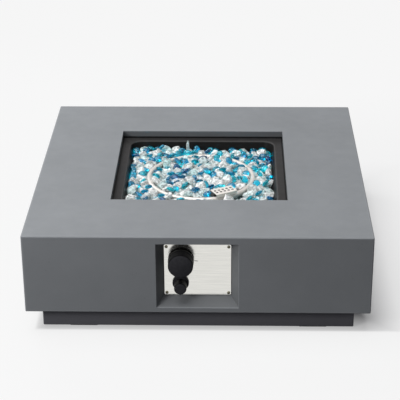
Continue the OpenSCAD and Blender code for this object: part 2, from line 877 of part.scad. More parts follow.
// Routes of the two leads under the pan
lead_bend = 12;
spark_lead_r = 1.6;
probe_lead_r = 1.2;
spark_run = 55;
probe_run = 30;
probe_over = 14;
spark_foot = shield_point(pilot_x, -pilot_y, insulator_end);
spark_turn_y = plate_y + barrel_l + spark_run;
spark_route = [
  [tab_x - button_left, plate_y + barrel_l + cap_h + tab_l, button_z],
  [tab_x - button_left, spark_turn_y, button_z],
  [spark_foot[0], spark_turn_y, button_z],
  [spark_foot[0], spark_foot[1], button_z],
  spark_foot
];
probe_foot = shield_point(pilot_x, pilot_y, probe_end);
probe_turn_y = plate_y + magnet_end + magnet_nut_h + probe_run;
probe_low = button_z + probe_over;
probe_route = [
  [magnet_side - knob_left, plate_y + magnet_end + magnet_nut_h, knob_z],
  [magnet_side - knob_left, probe_turn_y, knob_z],
  [magnet_side - knob_left, probe_turn_y, probe_low],
  [probe_foot[0], probe_turn_y, probe_low],
  [probe_foot[0], probe_foot[1], probe_low],
  probe_foot
];

module ignition_lead() {
  color("black") bent_tube(spark_route, spark_lead_r, lead_bend);
}

module thermocouple_lead() {
  color("peru") bent_tube(probe_route, probe_lead_r, lead_bend);
}

module control_plate() {
  color("lightgray") difference() {
    translate([0, plate_y, recess_z]) rotate([90, 0, 0])
      linear_extrude(plate_t) round_rect(plate_w, plate_h, plate_r);
    at_plate_screws() cylinder(r = plate_shank_r + slip_gap, h = 4 * plate_t, center = true);
    at_knob() {
      cylinder(r = nose_r + slip_gap, h = 4 * plate_t, center = true);
      for (s = [-1, 1]) {
        translate([s * valve_screw_at, 0, 0])
          cylinder(r = valve_screw_r + slip_gap, h = 4 * plate_t, center = true);
      }
    }
    at_button() cylinder(r = barrel_r + slip_gap, h = 4 * plate_t, center = true);
  }
}

module plate_screws() {
  color("dimgray") at_plate_screws() translate([0, 0, -plate_t]) rotate([180, 0, 0])
    screw(plate_screw_r, plate_screw_h, plate_shank_r, plate_screw_l);
}

module valve_body() {
  bore_l = sleeve_end + valve_spring_l;
  color("silver") at_knob() difference() {
    union() {
      linear_extrude(valve_flange_h) {
        square([2 * valve_screw_at, 2 * valve_ear_r], center = true);
        for (s = [-1, 1]) translate([s * valve_screw_at, 0]) circle(valve_ear_r);
      }
      translate([0, 0, nose_front]) cylinder(r = nose_r, h = valve_l / 2);
      cylinder(r = valve_r, h = valve_l);
      translate([0, 0, valve_l]) cylinder(r = outlet_collar_r, h = outlet_collar_h);
      translate([0, 0, valve_l]) cylinder(r = jet_r, h = outlet_end - valve_l);
      translate([magnet_side, 0, magnet_end / 2]) cylinder(r = magnet_r, h = magnet_end / 2);
      translate([-inlet_side, 0, inlet_at]) rotate([0, 90, 0]) cylinder(r = inlet_arm_r, h = inlet_side);
      translate([-inlet_side, -inlet_boss_r, inlet_at]) rotate([-90, 0, 0])
        cylinder(r = inlet_boss_r, h = inlet_drop + inlet_boss_r);
    }
    translate([0, 0, nose_front - over]) cylinder(r = sleeve_r + run_gap, h = bore_l - nose_front + over);
    for (s = [-1, 1]) {
      translate([s * valve_screw_at, 0, -over])
        cylinder(r = valve_screw_r + slip_gap, h = valve_hole_l);
    }
  }
}

module valve_screws() {
  color("dimgray") at_knob() for (s = [-1, 1]) {
    translate([s * valve_screw_at, 0, -plate_t]) rotate([180, 0, 0])
      screw(valve_head_r, valve_head_h, valve_screw_r, valve_screw_l);
  }
}

module magnet_nut() {
  color("goldenrod") at_knob() translate([magnet_side, 0, magnet_end]) hex(magnet_nut_r, magnet_nut_h);
}

// Gas inlet with a flare thread, pointing down from the valve
module inlet_fitting() {
  color("goldenrod") translate([-knob_left - inlet_side, plate_y + inlet_at, knob_z - inlet_drop])
    rotate([180, 0, 0]) difference() {
      union() {
        hex(inlet_hex_r, inlet_hex_h);
        cylinder(r = inlet_r, h = inlet_hex_h + inlet_thread_l);
        translate([0, 0, inlet_hex_h + inlet_thread_l])
          cylinder(r1 = inlet_nose_r, r2 = inlet_tip_r, h = inlet_nose_l);
      }
      translate([0, 0, over]) cylinder(r = inlet_bore, h = inlet_hex_h + inlet_thread_l + inlet_nose_l);
    }
}

module stem_sleeve() {
  color("goldenrod") at_knob() difference() {
    union() {
      translate([0, 0, sleeve_front]) cylinder(r = sleeve_r, h = sleeve_end - sleeve_front);
      translate([0, 0, sleeve_front]) cylinder(r = sleeve_collar_r, h = sleeve_collar_h);
    }
    translate([0, 0, sleeve_front - over])
      cylinder(r = stem_r + run_gap, h = sleeve_end - sleeve_front + 2 * over);
  }
}

module sleeve_spring() {
  color("silver") at_knob() translate([0, 0, sleeve_end + slip_gap])
    coil(valve_spring_r, valve_wire_r, valve_spring_l - 2 * slip_gap, spring_turns);
}

// Round stem with a flat along its front end
module flatted(r, flat, h) {
  difference() {
    cylinder(r = r, h = h);
    translate([-r, flat, -over]) cube([2 * r, r, h + 2 * over]);
  }
}

module valve_stem() {
  flat_l = hub_back - stem_front;
  color("goldenrod") at_knob() translate([0, 0, stem_front]) {
    flatted(stem_r, stem_r - flat_depth, flat_l);
    translate([0, 0, flat_l]) cylinder(r = stem_r, h = stem_end - hub_back);
  }
}

// Outer section of the knob, from its open back over the grooved grip to its domed face
function groove(z) = [[knob_r, z - groove_w / 2], [knob_r - groove_d, z], [knob_r, z + groove_w / 2]];

module knob_section() {
  polygon(concat(
    [[0, 0], [skirt_d / 2, 0], [skirt_d / 2, skirt_h - skirt_ease], [knob_r, skirt_h]],
    [for (k = [1 : groove_n]) each groove(skirt_h + grip_l * (k - 0.5) / groove_n)],
    arc([face_r, edge_z], knob_edge_r, 0, 90 - face_a, knob_edge_n),
    arc([0, knob_l - face_ball], face_ball, 90 - face_a * (1 - 1 / face_n), 90, face_n - 1)
  ));
}

module control_knob() {
  hollow_r = knob_r - knob_wall;
  hollow_l = knob_l - face_rise - knob_face_t;
  color([0.1, 0.1, 0.11]) at_knob() translate([0, 0, knob_front + knob_l]) rotate([180, 0, 0]) difference() {
    rotate_extrude() knob_section();
    difference() {
      translate([0, 0, -over]) cylinder(r = hollow_r, h = hollow_l + over);
      translate([0, 0, knob_front + knob_l - hub_back]) cylinder(r = hub_r, h = knob_l);
    }
    mirror([0, 1, 0]) translate([0, 0, -over])
      flatted(stem_r + run_gap, stem_r - flat_depth + run_gap, hollow_l);
  }
}

// Outer section of the bezel: flange, collar for the button and barrel through the plate
module bezel_section() {
  front = -plate_t - bezel_h;
  polygon([
    [battery_bore, front - collar_l], [collar_r, front - collar_l], [collar_r, front],
    [bezel_d / 2 - bezel_ease, front], [bezel_d / 2, front + bezel_ease], [bezel_d / 2, -plate_t],
    [barrel_r, -plate_t], [barrel_r, barrel_l], [battery_bore, barrel_l]
  ]);
}

module igniter_bezel() {
  color([0.1, 0.1, 0.11]) at_button() rotate_extrude() bezel_section();
}

module igniter_nut() {
  color("dimgray") at_button() difference() {
    hex(igniter_nut_r, igniter_nut_h);
    translate([0, 0, -over]) cylinder(r = barrel_r + run_gap, h = igniter_nut_h + 2 * over);
  }
}

module igniter_cap() {
  color("black") at_button() {
    translate([0, 0, barrel_l]) cylinder(r = barrel_r, h = cap_h);
    translate([0, 0, barrel_l - cap_plug]) cylinder(r = battery_r, h = cap_plug + over);
    for (s = [-1, 1]) translate([s * tab_x, 0, barrel_l + cap_h - over]) block(tab_t, tab_w, tab_l + over);
  }
}

module igniter_battery() {
  color("darkgoldenrod") at_button() {
    translate([0, 0, battery_front + battery_tip_h])
      cylinder(r = battery_r, h = battery_l - battery_tip_h);
    translate([0, 0, battery_front]) cylinder(r = battery_tip_r, h = battery_tip_h + over);
  }
}

module igniter_button() {
  length = button_back - button_front;
  color([0.11, 0.11, 0.12]) at_button() translate([0, 0, button_back]) rotate([180, 0, 0]) difference() {
    rotate_extrude() polygon(concat(
      [[0, 0], [button_d / 2, 0]],
      arc([button_d / 2 - button_edge_r, length - button_edge_r], button_edge_r, 0, 90),
      [[0, length]]
    ));
    translate([0, 0, -over]) cylinder(r = collar_r + run_gap, h = length - button_face_t + over);
  }
}

module button_spring() {
  back = -plate_t - bezel_h - collar_l;
  room = back - button_front - button_face_t;
  color("silver") at_button() translate([0, 0, back - room + slip_gap])
    coil((battery_bore + collar_r) / 2, button_wire_r, room - 2 * slip_gap, spring_turns);
}

// Bed that fills the pan's well under the top layer of glass
module fire_glass_bed() {
  depth = bed_top - pan_floor - bed_gap;
  low_u = bend_c[0] - bed_gap;
  top_u = bed_wall_u - bed_gap;
  color("powderblue") difference() {
    translate([0, opening_back, pan_floor + bed_gap]) {
      around_corners(well_x, well_y) polygon([[0, 0], [low_u, 0], [top_u, depth], [0, depth]]);
      block(2 * well_x, 2 * well_y, depth);
    }
    translate([stub_pos[0], stub_pos[1], pan_floor]) cylinder(r = stub_collar_r + bed_gap, h = 2 * depth);
    for (k = [1, 2]) {
      translate([0, opening_back, pan_floor]) rotate(stub_a + 120 * k) translate([ring_r, 0, 0])
        block(leg_w + 2 * bed_gap, leg_foot + 2 * bed_gap, 2 * depth);
    }
    at_shield() translate([(shield_x0 - pocket_back + shield_x1) / 2, 0, pan_floor])
      block(shield_x1 - shield_x0 + pocket_back + 2 * bed_gap, shield_l + 2 * bed_gap, 2 * depth);
  }
}

// Places of the top layer: a jittered grid, clear of the walls, the ring and the shield
grid_n = floor(max(pan_w, pan_d) / glass_pitch / 2);
grid_row = 2 * grid_n + 1;
grid_all = grid_row * grid_row;
jitter_x = rands(-glass_jitter, glass_jitter, grid_all, glass_seed);
jitter_y = rands(-glass_jitter, glass_jitter, grid_all, glass_seed + 1);
kinds = rands(0, 1, grid_all, glass_seed + 2);
turns = rands(0, 360, grid_all, glass_seed + 3);
tilts = rands(0, bead_tilt, grid_all, glass_seed + 4);
heights = rands(lump_low, lump_high, grid_all, glass_seed + 5);
places = [
  for (i = [0 : grid_all - 1])
    let (column = i % grid_row - grid_n, row = floor(i / grid_row) - grid_n)
      [column * glass_pitch + jitter_x[i], row * glass_pitch + jitter_y[i]]
];

function in_well(p) =
  norm([max(abs(p[0]) - well_x, 0), max(abs(p[1]) - well_y, 0)]) < bed_wall_u - bed_gap - glass_r;
function off_ring(p) = abs(norm(p) - ring_r) > ring_tube / 2 + glass_r + bed_gap;
function off_shield(p) =
  let (x = p[0] * cos(shield_a) + p[1] * sin(shield_a), y = p[1] * cos(shield_a) - p[0] * sin(shield_a))
    x < shield_x0 - pocket_back - glass_r
      || x > shield_x1 + glass_r
      || abs(y) > shield_l / 2 + bed_gap + glass_r;
function is_free(p) = in_well(p) && off_ring(p) && off_shield(p);
layer = [for (i = [0 : grid_all - 1]) if (is_free(places[i])) i];

// Irregular lump of broken glass that stands on its base
module lump(i) {
  rough = rands(lump_rough, 1, 3 * lump_sides, glass_seed + grid_all + i);
  level = [0, 0.4, 1];
  sway = [0, 0.3, 0];
  reach = [0.6, 1, 0.62];
  points = [
    for (row = [0 : 2], k = [0 : lump_sides - 1])
      let (a = 360 * (k + row / 2) / lump_sides, r = glass_r * reach[row] * rough[row * lump_sides + k])
        [r * cos(a), r * sin(a), heights[i] * (level[row] + sway[row] * (rough[k] - lump_rough))]
  ];
  skin = [
    for (row = [0, 1], k = [0 : lump_sides - 1], half = [0, 1])
      let (m = (k + 1) % lump_sides, p = row * lump_sides, q = p + lump_sides)
        half == 0 ? [p + k, q + k, p + m] : [q + k, q + m, p + m]
  ];
  last = 2 * lump_sides;
  caps = [
    for (k = [1 : lump_sides - 2], end = [0, 1])
      end == 0 ? [0, k, k + 1] : [last, last + k + 1, last + k]
  ];
  polyhedron(points, concat(skin, caps));
}

// Round bead, thick in the middle, whose tilt sets its height
function bead_ball() = (glass_r * glass_r + bead_t * bead_t / 4) / bead_t;

module bead(tilt) {
  ball = bead_ball();
  translate([0, 0, ball - (ball - bead_t / 2) * cos(tilt)]) rotate([tilt, 0, 0]) intersection() {
    translate([0, 0, ball - bead_t / 2]) sphere(ball);
    translate([0, 0, bead_t / 2 - ball]) sphere(ball);
  }
}

module clear_glass_lumps() {
  color("azure") translate([0, opening_back, bed_top + slip_gap]) for (i = layer) {
    if (kinds[i] >= blue_share) translate(places[i]) rotate(turns[i]) lump(i);
  }
}

module blue_glass_beads() {
  color("deepskyblue") translate([0, opening_back, bed_top + slip_gap]) for (i = layer) {
    if (kinds[i] < blue_share) translate(places[i]) rotate(turns[i]) bead(tilts[i]);
  }
}

concrete_shell();
plinth();
foot_pads();
plinth_bolts();
hose_grommet();
burner_pan();
burner_ring();
ring_legs();
burner_locknut();
air_mixer();
gas_jet();
gas_pipe();
pipe_nuts();
ignition_shield();
pilot_bracket();
shield_screws();
electrode_insulator();
electrode_rod();
thermocouple();
ignition_lead();
thermocouple_lead();
control_plate();
plate_screws();
valve_body();
valve_screws();
magnet_nut();
inlet_fitting();
stem_sleeve();
sleeve_spring();
valve_stem();
control_knob();
igniter_bezel();
igniter_nut();
igniter_cap();
igniter_battery();
igniter_button();
button_spring();
fire_glass_bed();
clear_glass_lumps();
blue_glass_beads();
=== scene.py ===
# %% [markdown]
# A low square fire pit table. A hollow concrete body stands on a plinth, a black steel pan of fire glass
# hangs in its top, and a control plate sits in a recess at its front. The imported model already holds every
# rigid piece at its real size, so this lesson gives each piece its finish and pours the glass.

# %% Load the frame
import math

import bmesh
import bpy
import numpy as np
from mathutils import Euler, Matrix, Vector


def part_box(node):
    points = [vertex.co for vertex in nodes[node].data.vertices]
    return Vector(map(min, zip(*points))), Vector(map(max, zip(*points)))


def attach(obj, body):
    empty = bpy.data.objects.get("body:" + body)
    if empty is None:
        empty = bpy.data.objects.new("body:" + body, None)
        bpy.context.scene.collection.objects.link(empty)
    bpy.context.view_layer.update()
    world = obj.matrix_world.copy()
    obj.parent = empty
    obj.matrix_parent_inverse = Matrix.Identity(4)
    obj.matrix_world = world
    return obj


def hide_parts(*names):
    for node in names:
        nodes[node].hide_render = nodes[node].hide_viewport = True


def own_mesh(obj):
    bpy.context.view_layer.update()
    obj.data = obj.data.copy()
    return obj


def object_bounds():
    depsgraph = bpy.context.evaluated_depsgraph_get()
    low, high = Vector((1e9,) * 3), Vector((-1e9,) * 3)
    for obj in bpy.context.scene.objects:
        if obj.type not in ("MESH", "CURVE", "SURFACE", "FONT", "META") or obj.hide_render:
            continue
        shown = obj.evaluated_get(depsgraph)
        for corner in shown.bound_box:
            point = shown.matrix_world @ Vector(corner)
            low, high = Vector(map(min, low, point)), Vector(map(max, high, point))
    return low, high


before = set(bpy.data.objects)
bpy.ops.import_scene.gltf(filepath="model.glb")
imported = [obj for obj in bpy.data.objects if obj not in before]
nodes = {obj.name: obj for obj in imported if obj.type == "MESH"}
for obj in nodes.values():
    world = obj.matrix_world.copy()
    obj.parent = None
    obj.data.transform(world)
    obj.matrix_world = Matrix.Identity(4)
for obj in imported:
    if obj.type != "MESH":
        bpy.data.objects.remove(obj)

MM = 0.001
scene = bpy.context.scene
cad_low, cad_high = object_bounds()
print("CAD nodes", len(nodes), "box", [round(v, 4) for v in (*cad_low, *cad_high)])


def add_object(name, data):
    """A new object in the scene."""
    made = bpy.data.objects.new(name, data)
    scene.collection.objects.link(made)
    return made


# %% [markdown]
# The camera comes first, because everything is judged through it. The lines of the square top run to two
# vanishing points, and these gave the lens and the angles. A camera at rest looks down, so it is first
# tipped up to look along +Y. Then come roll, pitch and yaw, and last its place.

# %% Camera
IMAGE_PX = 400
FOCAL_PX = 1364.8
SENSOR = 36.0
CAMERA_PLACE = Vector((0.0680, -2.7888, 1.4688))
CAMERA_PITCH = math.radians(-25.491)
CAMERA_YAW = math.radians(1.449)
CAMERA_ROLL = math.radians(0.356)

camera = add_object("camera", bpy.data.cameras.new("camera"))
camera.data.sensor_width = SENSOR
camera.data.lens = FOCAL_PX * SENSOR / IMAGE_PX
turn = (
    Matrix.Rotation(CAMERA_YAW, 4, "Z")
    @ Matrix.Rotation(CAMERA_PITCH, 4, "X")
    @ Matrix.Rotation(CAMERA_ROLL, 4, "Y")
    @ Matrix.Rotation(math.radians(90), 4, "X")
)
camera.matrix_world = Matrix.Translation(CAMERA_PLACE) @ turn
scene.camera = camera
print("lens", round(camera.data.lens, 2), "mm")

# %% [markdown]
# A finish is a small tree of shader nodes. The first helpers turn a picture's colour into a shader's, add
# a node to a tree and start a finish with a Principled shader.

# %% Helpers for finishes
def tone(red, green, blue):
    """A colour as a picture shows it, from 0 to 255, as the linear colour that a shader wants."""
    parts = [v / 255 for v in (red, green, blue)]
    linear = [v / 12.92 if v <= 0.04045 else ((v + 0.055) / 1.055) ** 2.4 for v in parts]
    return (*linear, 1.0)


def shade(colour, factor):
    """A colour made darker or lighter."""
    return (*[min(1.0, v * factor) for v in colour[:3]], 1.0)


def put_in(tree, socket, value):
    """Links a socket to another one or to a node's first output, or sets its value."""
    if isinstance(value, bpy.types.Node):
        value = value.outputs[0]
    if isinstance(value, bpy.types.NodeSocket):
        tree.links.new(value, socket)
    else:
        socket.default_value = value


def add_node(tree, kind, settings=None, **sockets):
    """A node with its settings, and with its sockets linked or set by name."""
    node = tree.nodes.new(kind)
    for name, value in (settings or {}).items():
        setattr(node, name, value)
    for name, value in sockets.items():
        put_in(tree, node.inputs[name.replace("_", " ")], value)
    return node


def new_finish(name, **sockets):
    """A material with one Principled shader, whose constant values are set on its own sockets."""
    material = bpy.data.materials.new(name)
    material.use_nodes = True
    tree = material.node_tree
    tree.nodes.clear()
    skin = add_node(tree, "ShaderNodeBsdfPrincipled", **sockets)
    add_node(tree, "ShaderNodeOutputMaterial", Surface=skin)
    return material, tree, skin


# %% [markdown]
# The next helpers make patterns: a noise, a ramp of colours, a range, a mix or a bump. Every pattern reads
# Object coordinates, which are metres in the table's own frame, so a noise scale of 1000 makes grains of
# 1 mm. The last helper gives pieces a finish.

# %% Helpers for patterns
def object_coords(tree, stretch=(1, 1, 1), shift=(0, 0, 0)):
    """Object coordinates, stretched along each axis and then shifted."""
    place = tree.nodes.new("ShaderNodeTexCoord").outputs["Object"]
    node = add_node(tree, "ShaderNodeMapping", Vector=place, Scale=stretch, Location=shift)
    return node.outputs["Vector"]


def split_xyz(tree, vector):
    """The X, Y and Z sockets of a vector."""
    return add_node(tree, "ShaderNodeSeparateXYZ", Vector=vector).outputs


def noise(tree, scale, detail=4.0, stretch=(1, 1, 1)):
    """Soft random values, mostly from 0.3 to 0.7."""
    place = object_coords(tree, stretch)
    return add_node(tree, "ShaderNodeTexNoise", Vector=place, Scale=scale, Detail=detail).outputs["Fac"]


def ramp(tree, value, *stops):
    """Colours at positions from 0 to 1 along a value."""
    node = add_node(tree, "ShaderNodeValToRGB", Fac=value)
    for index, (position, colour) in enumerate(stops):
        mark = node.color_ramp.elements[index] if index < 2 else node.color_ramp.elements.new(position)
        mark.position = position
        mark.color = colour
    return node.outputs["Color"]


def to_range(tree, value, low, high, start=0.3, end=0.7):
    """A value from start to end, carried to low to high and held there."""
    sockets = {"Value": value, "From_Min": start, "From_Max": end, "To_Min": low, "To_Max": high}
    return add_node(tree, "ShaderNodeMapRange", **sockets).outputs["Result"]


def math_node(tree, operation, first, second=0.0):
    """One step of arithmetic with two values."""
    node = tree.nodes.new("ShaderNodeMath")
    node.operation = operation
    for socket, value in zip(node.inputs, (first, second)):
        put_in(tree, socket, value)
    return node.outputs[0]


def mix_colour(tree, share, first, second):
    """Two colours mixed by a share from 0 to 1."""
    node = tree.nodes.new("ShaderNodeMix")
    node.data_type = "RGBA"
    for index, value in ((0, share), (6, first), (7, second)):
        put_in(tree, node.inputs[index], value)
    return node.outputs[2]


def set_bump(tree, skin, height, depth, strength=1.0):
    """Raises the shading by a height of that depth in metres."""
    node = add_node(tree, "ShaderNodeBump", Height=height, Distance=depth, Strength=strength)
    tree.links.new(node.outputs["Normal"], skin.inputs["Normal"])


def dress(material, *names):
    """Gives CAD nodes a finish."""
    for name in names:
        mesh = nodes[name].data
        mesh.materials.clear()
        mesh.materials.append(material)
    print(material.name, "on", ", ".join(names))


# %% [markdown]
# The table stands in a white studio. The floor is a real surface, so it takes the table's shadow. It also
# glows to the camera, to reflections and to refractions: not at all under the plinth, a little on the right
# and at the back, where the shadow falls, more at the front and the left, and most further out, which keeps
# the background pale. Only the camera sees its paint as nearly white. For the light that bounces off it,
# the floor is a dim grey, because a white floor would light the table's front from below.

# %% Floor
FLOOR_SIZE = 30.0
FLOOR_TONE = tone(222, 222, 222)
FLOOR_BOUNCE = tone(92, 92, 94)
GLOW_STEPS = ((0.290, 0.0), (0.390, 0.62), (0.50, 0.82), (1.0, 0.93))
GLOW_SHIFT = (-0.035, -0.035, 0.0)
GLOW_NEAR = 0.86
GLOW_EDGE = (18 * MM, 2 * MM)
STUDIO_WHITE = (0.94, 0.94, 0.94, 1.0)


def seen_rays(tree):
    """1 for what the camera sees, straight, mirrored or through glass, and 0 for bounced light."""
    rays = tree.nodes.new("ShaderNodeLightPath").outputs
    seen = math_node(tree, "MAXIMUM", rays["Is Camera Ray"], rays["Is Glossy Ray"])
    return math_node(tree, "MAXIMUM", seen, rays["Is Transmission Ray"])


bpy.ops.mesh.primitive_plane_add(size=FLOOR_SIZE)
floor = bpy.context.object
floor.name = "floor"
floor_paint, tree, skin = new_finish("floor_paint", Roughness=0.9, Specular_IOR_Level=0.0)
looked_at = tree.nodes.new("ShaderNodeLightPath").outputs["Is Camera Ray"]
tree.links.new(mix_colour(tree, looked_at, FLOOR_BOUNCE, FLOOR_TONE), skin.inputs["Base Color"])
away = object_coords(tree, shift=GLOW_SHIFT)
away = add_node(tree, "ShaderNodeVectorMath", {"operation": "ABSOLUTE"}, Vector=away)
away = split_xyz(tree, away)
away = math_node(tree, "MAXIMUM", away["X"], away["Y"])
away = ramp(tree, away, *[(reach, (share, share, share, 1.0)) for reach, share in GLOW_STEPS])
plinth_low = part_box("plinth")[0]
spot = split_xyz(tree, object_coords(tree))
for axis, edge in (("X", plinth_low.x), ("Y", plinth_low.y)):
    near = to_range(tree, spot[axis], GLOW_NEAR, 0.0, edge - GLOW_EDGE[0], edge - GLOW_EDGE[1])
    away = math_node(tree, "MAXIMUM", away, near)
glow = add_node(tree, "ShaderNodeEmission", Color=STUDIO_WHITE)
both = add_node(tree, "ShaderNodeMixShader", Fac=math_node(tree, "MULTIPLY", seen_rays(tree), away))
put_in(tree, both.inputs[1], skin)
put_in(tree, both.inputs[2], glow)
put_in(tree, tree.nodes["Material Output"].inputs["Surface"], both)
floor.data.materials.append(floor_paint)
print("floor", FLOOR_SIZE, "m wide")

# %% [markdown]
# The world works the same way: white to look at, dim for the light it gives.

# %% World
WORLD_LIGHT = (0.045, 0.045, 0.055, 1.0)

world = bpy.data.worlds.new("studio")
scene.world = world
world.use_nodes = True
tree = world.node_tree
sky = mix_colour(tree, seen_rays(tree), WORLD_LIGHT, STUDIO_WHITE)
tree.links.new(sky, tree.nodes["Background"].inputs["Color"])
scene.view_settings.view_transform = "Standard"
print("world", world.name)

# %% [markdown]
# Three lamps make the light. A broad sun lamp stands nearly overhead, a little to the left: it lights the
# top and the floor evenly, and its edge is so soft that the shadow on the right fades over a hand's width.
# A softbox stands near the table at the front left. It gives the front face its light, makes the left
# side brighter than the right, and leaves the left wall of the recess dark. A weaker softbox at the back
# left lifts the far corner of the top.

# %% Lamps
SUN_ANGLE = math.radians(50)
SOFTBOX_SIZE = 0.5


def add_lamp(name, kind, place, energy, size):
    """A lamp that points at the middle of the table."""
    lamp = add_object(name, bpy.data.lights.new(name, kind))
    lamp.location = place
    lamp.rotation_euler = (Vector((0, 0, cad_high.z)) - place).to_track_quat("-Z", "Y").to_euler()
    lamp.data.energy = energy
    if kind == "SUN":
        lamp.data.angle = size
    else:
        lamp.data.size = size
    print(name, kind, energy)


add_lamp("key_sun", "SUN", Vector((-0.55, -0.10, 2.4)), 2.58, SUN_ANGLE)
add_lamp("left_softbox", "AREA", Vector((-1.2, -1.48, 1.0)), 14.0, SOFTBOX_SIZE)
add_lamp("back_softbox", "AREA", Vector((-0.8, 0.8, 1.0)), 4.2, SOFTBOX_SIZE)

# %% [markdown]
# Some finishes change near the edges of a box or inside it. A point's distance to the nearest edge is the
# smallest sum of its distances to two sides, so a little arithmetic on Object coordinates finds the edges.
# The same arithmetic tells how deep inside a point lies.

# %% Distances inside a box
def side_reach(tree, low, high):
    """How far a point lies inside a box, along each axis."""
    split = split_xyz(tree, object_coords(tree))
    reach = []
    for axis in range(3):
        middle, half = (low[axis] + high[axis]) / 2, (high[axis] - low[axis]) / 2
        offset = math_node(tree, "ABSOLUTE", math_node(tree, "SUBTRACT", split[axis], middle))
        reach.append(math_node(tree, "SUBTRACT", half, offset))
    return reach


def least(tree, values):
    """The smallest of three values."""
    return math_node(tree, "MINIMUM", math_node(tree, "MINIMUM", values[0], values[1]), values[2])


def edge_share(tree, low, high, width):
    """1 along the edges of a box and 0 further in than a width."""
    reach = side_reach(tree, low, high)
    pairs = [math_node(tree, "ADD", reach[a], reach[b]) for a, b in ((0, 1), (0, 2), (1, 2))]
    return to_range(tree, least(tree, pairs), 1.0, 0.0, 0.0, width)


def inside_share(tree, low, high, start, end):
    """0 at a depth start inside a box, 1 at a depth end and further in."""
    return to_range(tree, least(tree, side_reach(tree, low, high)), 0.0, 1.0, start, end)


# %% [markdown]
# The body is cast concrete, ground smooth. It needs three scales: broad clouds where the mix set at
# different rates, a fine sandy speckle, and a few pin holes left by air. Its edges are a touch paler: partly
# wear, partly a painted highlight. Faces deep inside the body's box, in the recess and the opening, get
# painted shade, and the walls round the burner pan's joint get a near black painted shadow.

# %% Concrete
# Near black, used for soot and for painted shade.
SOOT_AND_SHADE = tone(12, 12, 12)
# Painted shadow on the concrete walls and ledge round the burner pan's joint.
JOINT_SHADE_SHARE = 0.97
JOINT_SHADE_REACH = Vector((6, 6, 4)) * MM
JOINT_SHADE_FADE = 2.5 * MM
# Painted shade for faces deep inside the body's box: the recess and the opening.
RECESS_SHADE = tone(20, 20, 20)
RECESS_SHADE_SHARE = 0.30
RECESS_SHADE_DEPTH = (1 * MM, 3 * MM)
# Paler edges: partly wear, partly a painted highlight.
EDGE_WIDTH = 5 * MM
PIN_SHARE = 0.93

pan_low, pan_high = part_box("burner_pan")


def concrete(name, colour, node_name, edge_wear_and_highlight):
    """Concrete: clouds, sand, pin holes, paler edges, and painted shade in recesses and at the pan's joint.
    """
    material, tree, skin = new_finish(name, Specular_IOR_Level=0.15)
    low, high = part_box(node_name)
    clouds = noise(tree, 7.0, 5.0)
    sand = noise(tree, 1100.0, 3.0)
    blotches = noise(tree, 38.0, 6.0)
    base = ramp(tree, clouds, (0.3, shade(colour, 0.94)), (0.7, shade(colour, 1.05)))
    base = mix_colour(tree, to_range(tree, blotches, 0.0, 0.10), base, shade(colour, 0.80))
    base = mix_colour(tree, to_range(tree, sand, 0.0, 0.16, 0.45, 0.75), base, shade(colour, 1.35))
    cells = add_node(tree, "ShaderNodeTexVoronoi", Vector=object_coords(tree), Scale=130.0)
    chosen = add_node(tree, "ShaderNodeSeparateColor", Color=cells.outputs["Color"]).outputs[0]
    pin = to_range(tree, cells.outputs["Distance"], 1.0, 0.0, 0.05, 0.13)
    pin = math_node(tree, "MULTIPLY", pin, math_node(tree, "GREATER_THAN", chosen, PIN_SHARE))
    base = mix_colour(tree, math_node(tree, "MULTIPLY", pin, 0.5), base, shade(colour, 0.4))
    # Paler along the edges: partly wear, partly a painted highlight.
    edges = math_node(tree, "MULTIPLY", edge_share(tree, low, high, EDGE_WIDTH), edge_wear_and_highlight)
    base = mix_colour(tree, edges, base, shade(colour, 1.6))
    # Painted shade on the faces deep inside the box, in the recess and the opening.
    inside = inside_share(tree, low, high, *RECESS_SHADE_DEPTH)
    base = mix_colour(tree, math_node(tree, "MULTIPLY", inside, RECESS_SHADE_SHARE), base, RECESS_SHADE)
    # Painted shadow: the concrete round the burner pan's joint turns near black.
    joint_shade = inside_share(tree, pan_low - JOINT_SHADE_REACH, pan_high + JOINT_SHADE_REACH, 0.0, JOINT_SHADE_FADE)
    base = mix_colour(tree, math_node(tree, "MULTIPLY", joint_shade, JOINT_SHADE_SHARE), base, SOOT_AND_SHADE)
    tree.links.new(base, skin.inputs["Base Color"])
    tree.links.new(to_range(tree, blotches, 0.50, 0.62), skin.inputs["Roughness"])
    grain = math_node(tree, "SUBTRACT", math_node(tree, "MULTIPLY", sand, 0.5), pin)
    set_bump(tree, skin, grain, 0.25 * MM, 0.5)
    return material


dress(concrete("body_concrete", tone(133, 136, 139), "concrete_shell", 0.35), "concrete_shell")
dress(concrete("plinth_concrete", tone(104, 104, 109), "plinth", 0.15), "plinth")

# %% [markdown]
# Most other pieces have one plain stuff that time has marked a little. One function makes them all: a
# broad noise shifts the colour, a fine one shifts the gloss and raises the surface. Each piece gets its own
# colour, gloss and grain.

# %% Plain stuffs
BROAD_GRAINS = 14


def stuff(name, colour, gloss, grain, metallic=0.0, depth=0.03, drift=0.12, **sockets):
    """A plain material. gloss is its roughness, grain its finest mark in mm and depth its relief in mm."""
    material, tree, skin = new_finish(name, Metallic=metallic, **sockets)
    fine = noise(tree, 1 / (grain * MM), 4.0)
    broad = noise(tree, 1 / (BROAD_GRAINS * grain * MM), 3.0)
    base = ramp(tree, broad, (0.3, shade(colour, 1 - drift)), (0.7, shade(colour, 1 + drift)))
    tree.links.new(base, skin.inputs["Base Color"])
    tree.links.new(to_range(tree, fine, gloss * 0.85, min(1.0, gloss * 1.15)), skin.inputs["Roughness"])
    set_bump(tree, skin, fine, depth * MM)
    return material


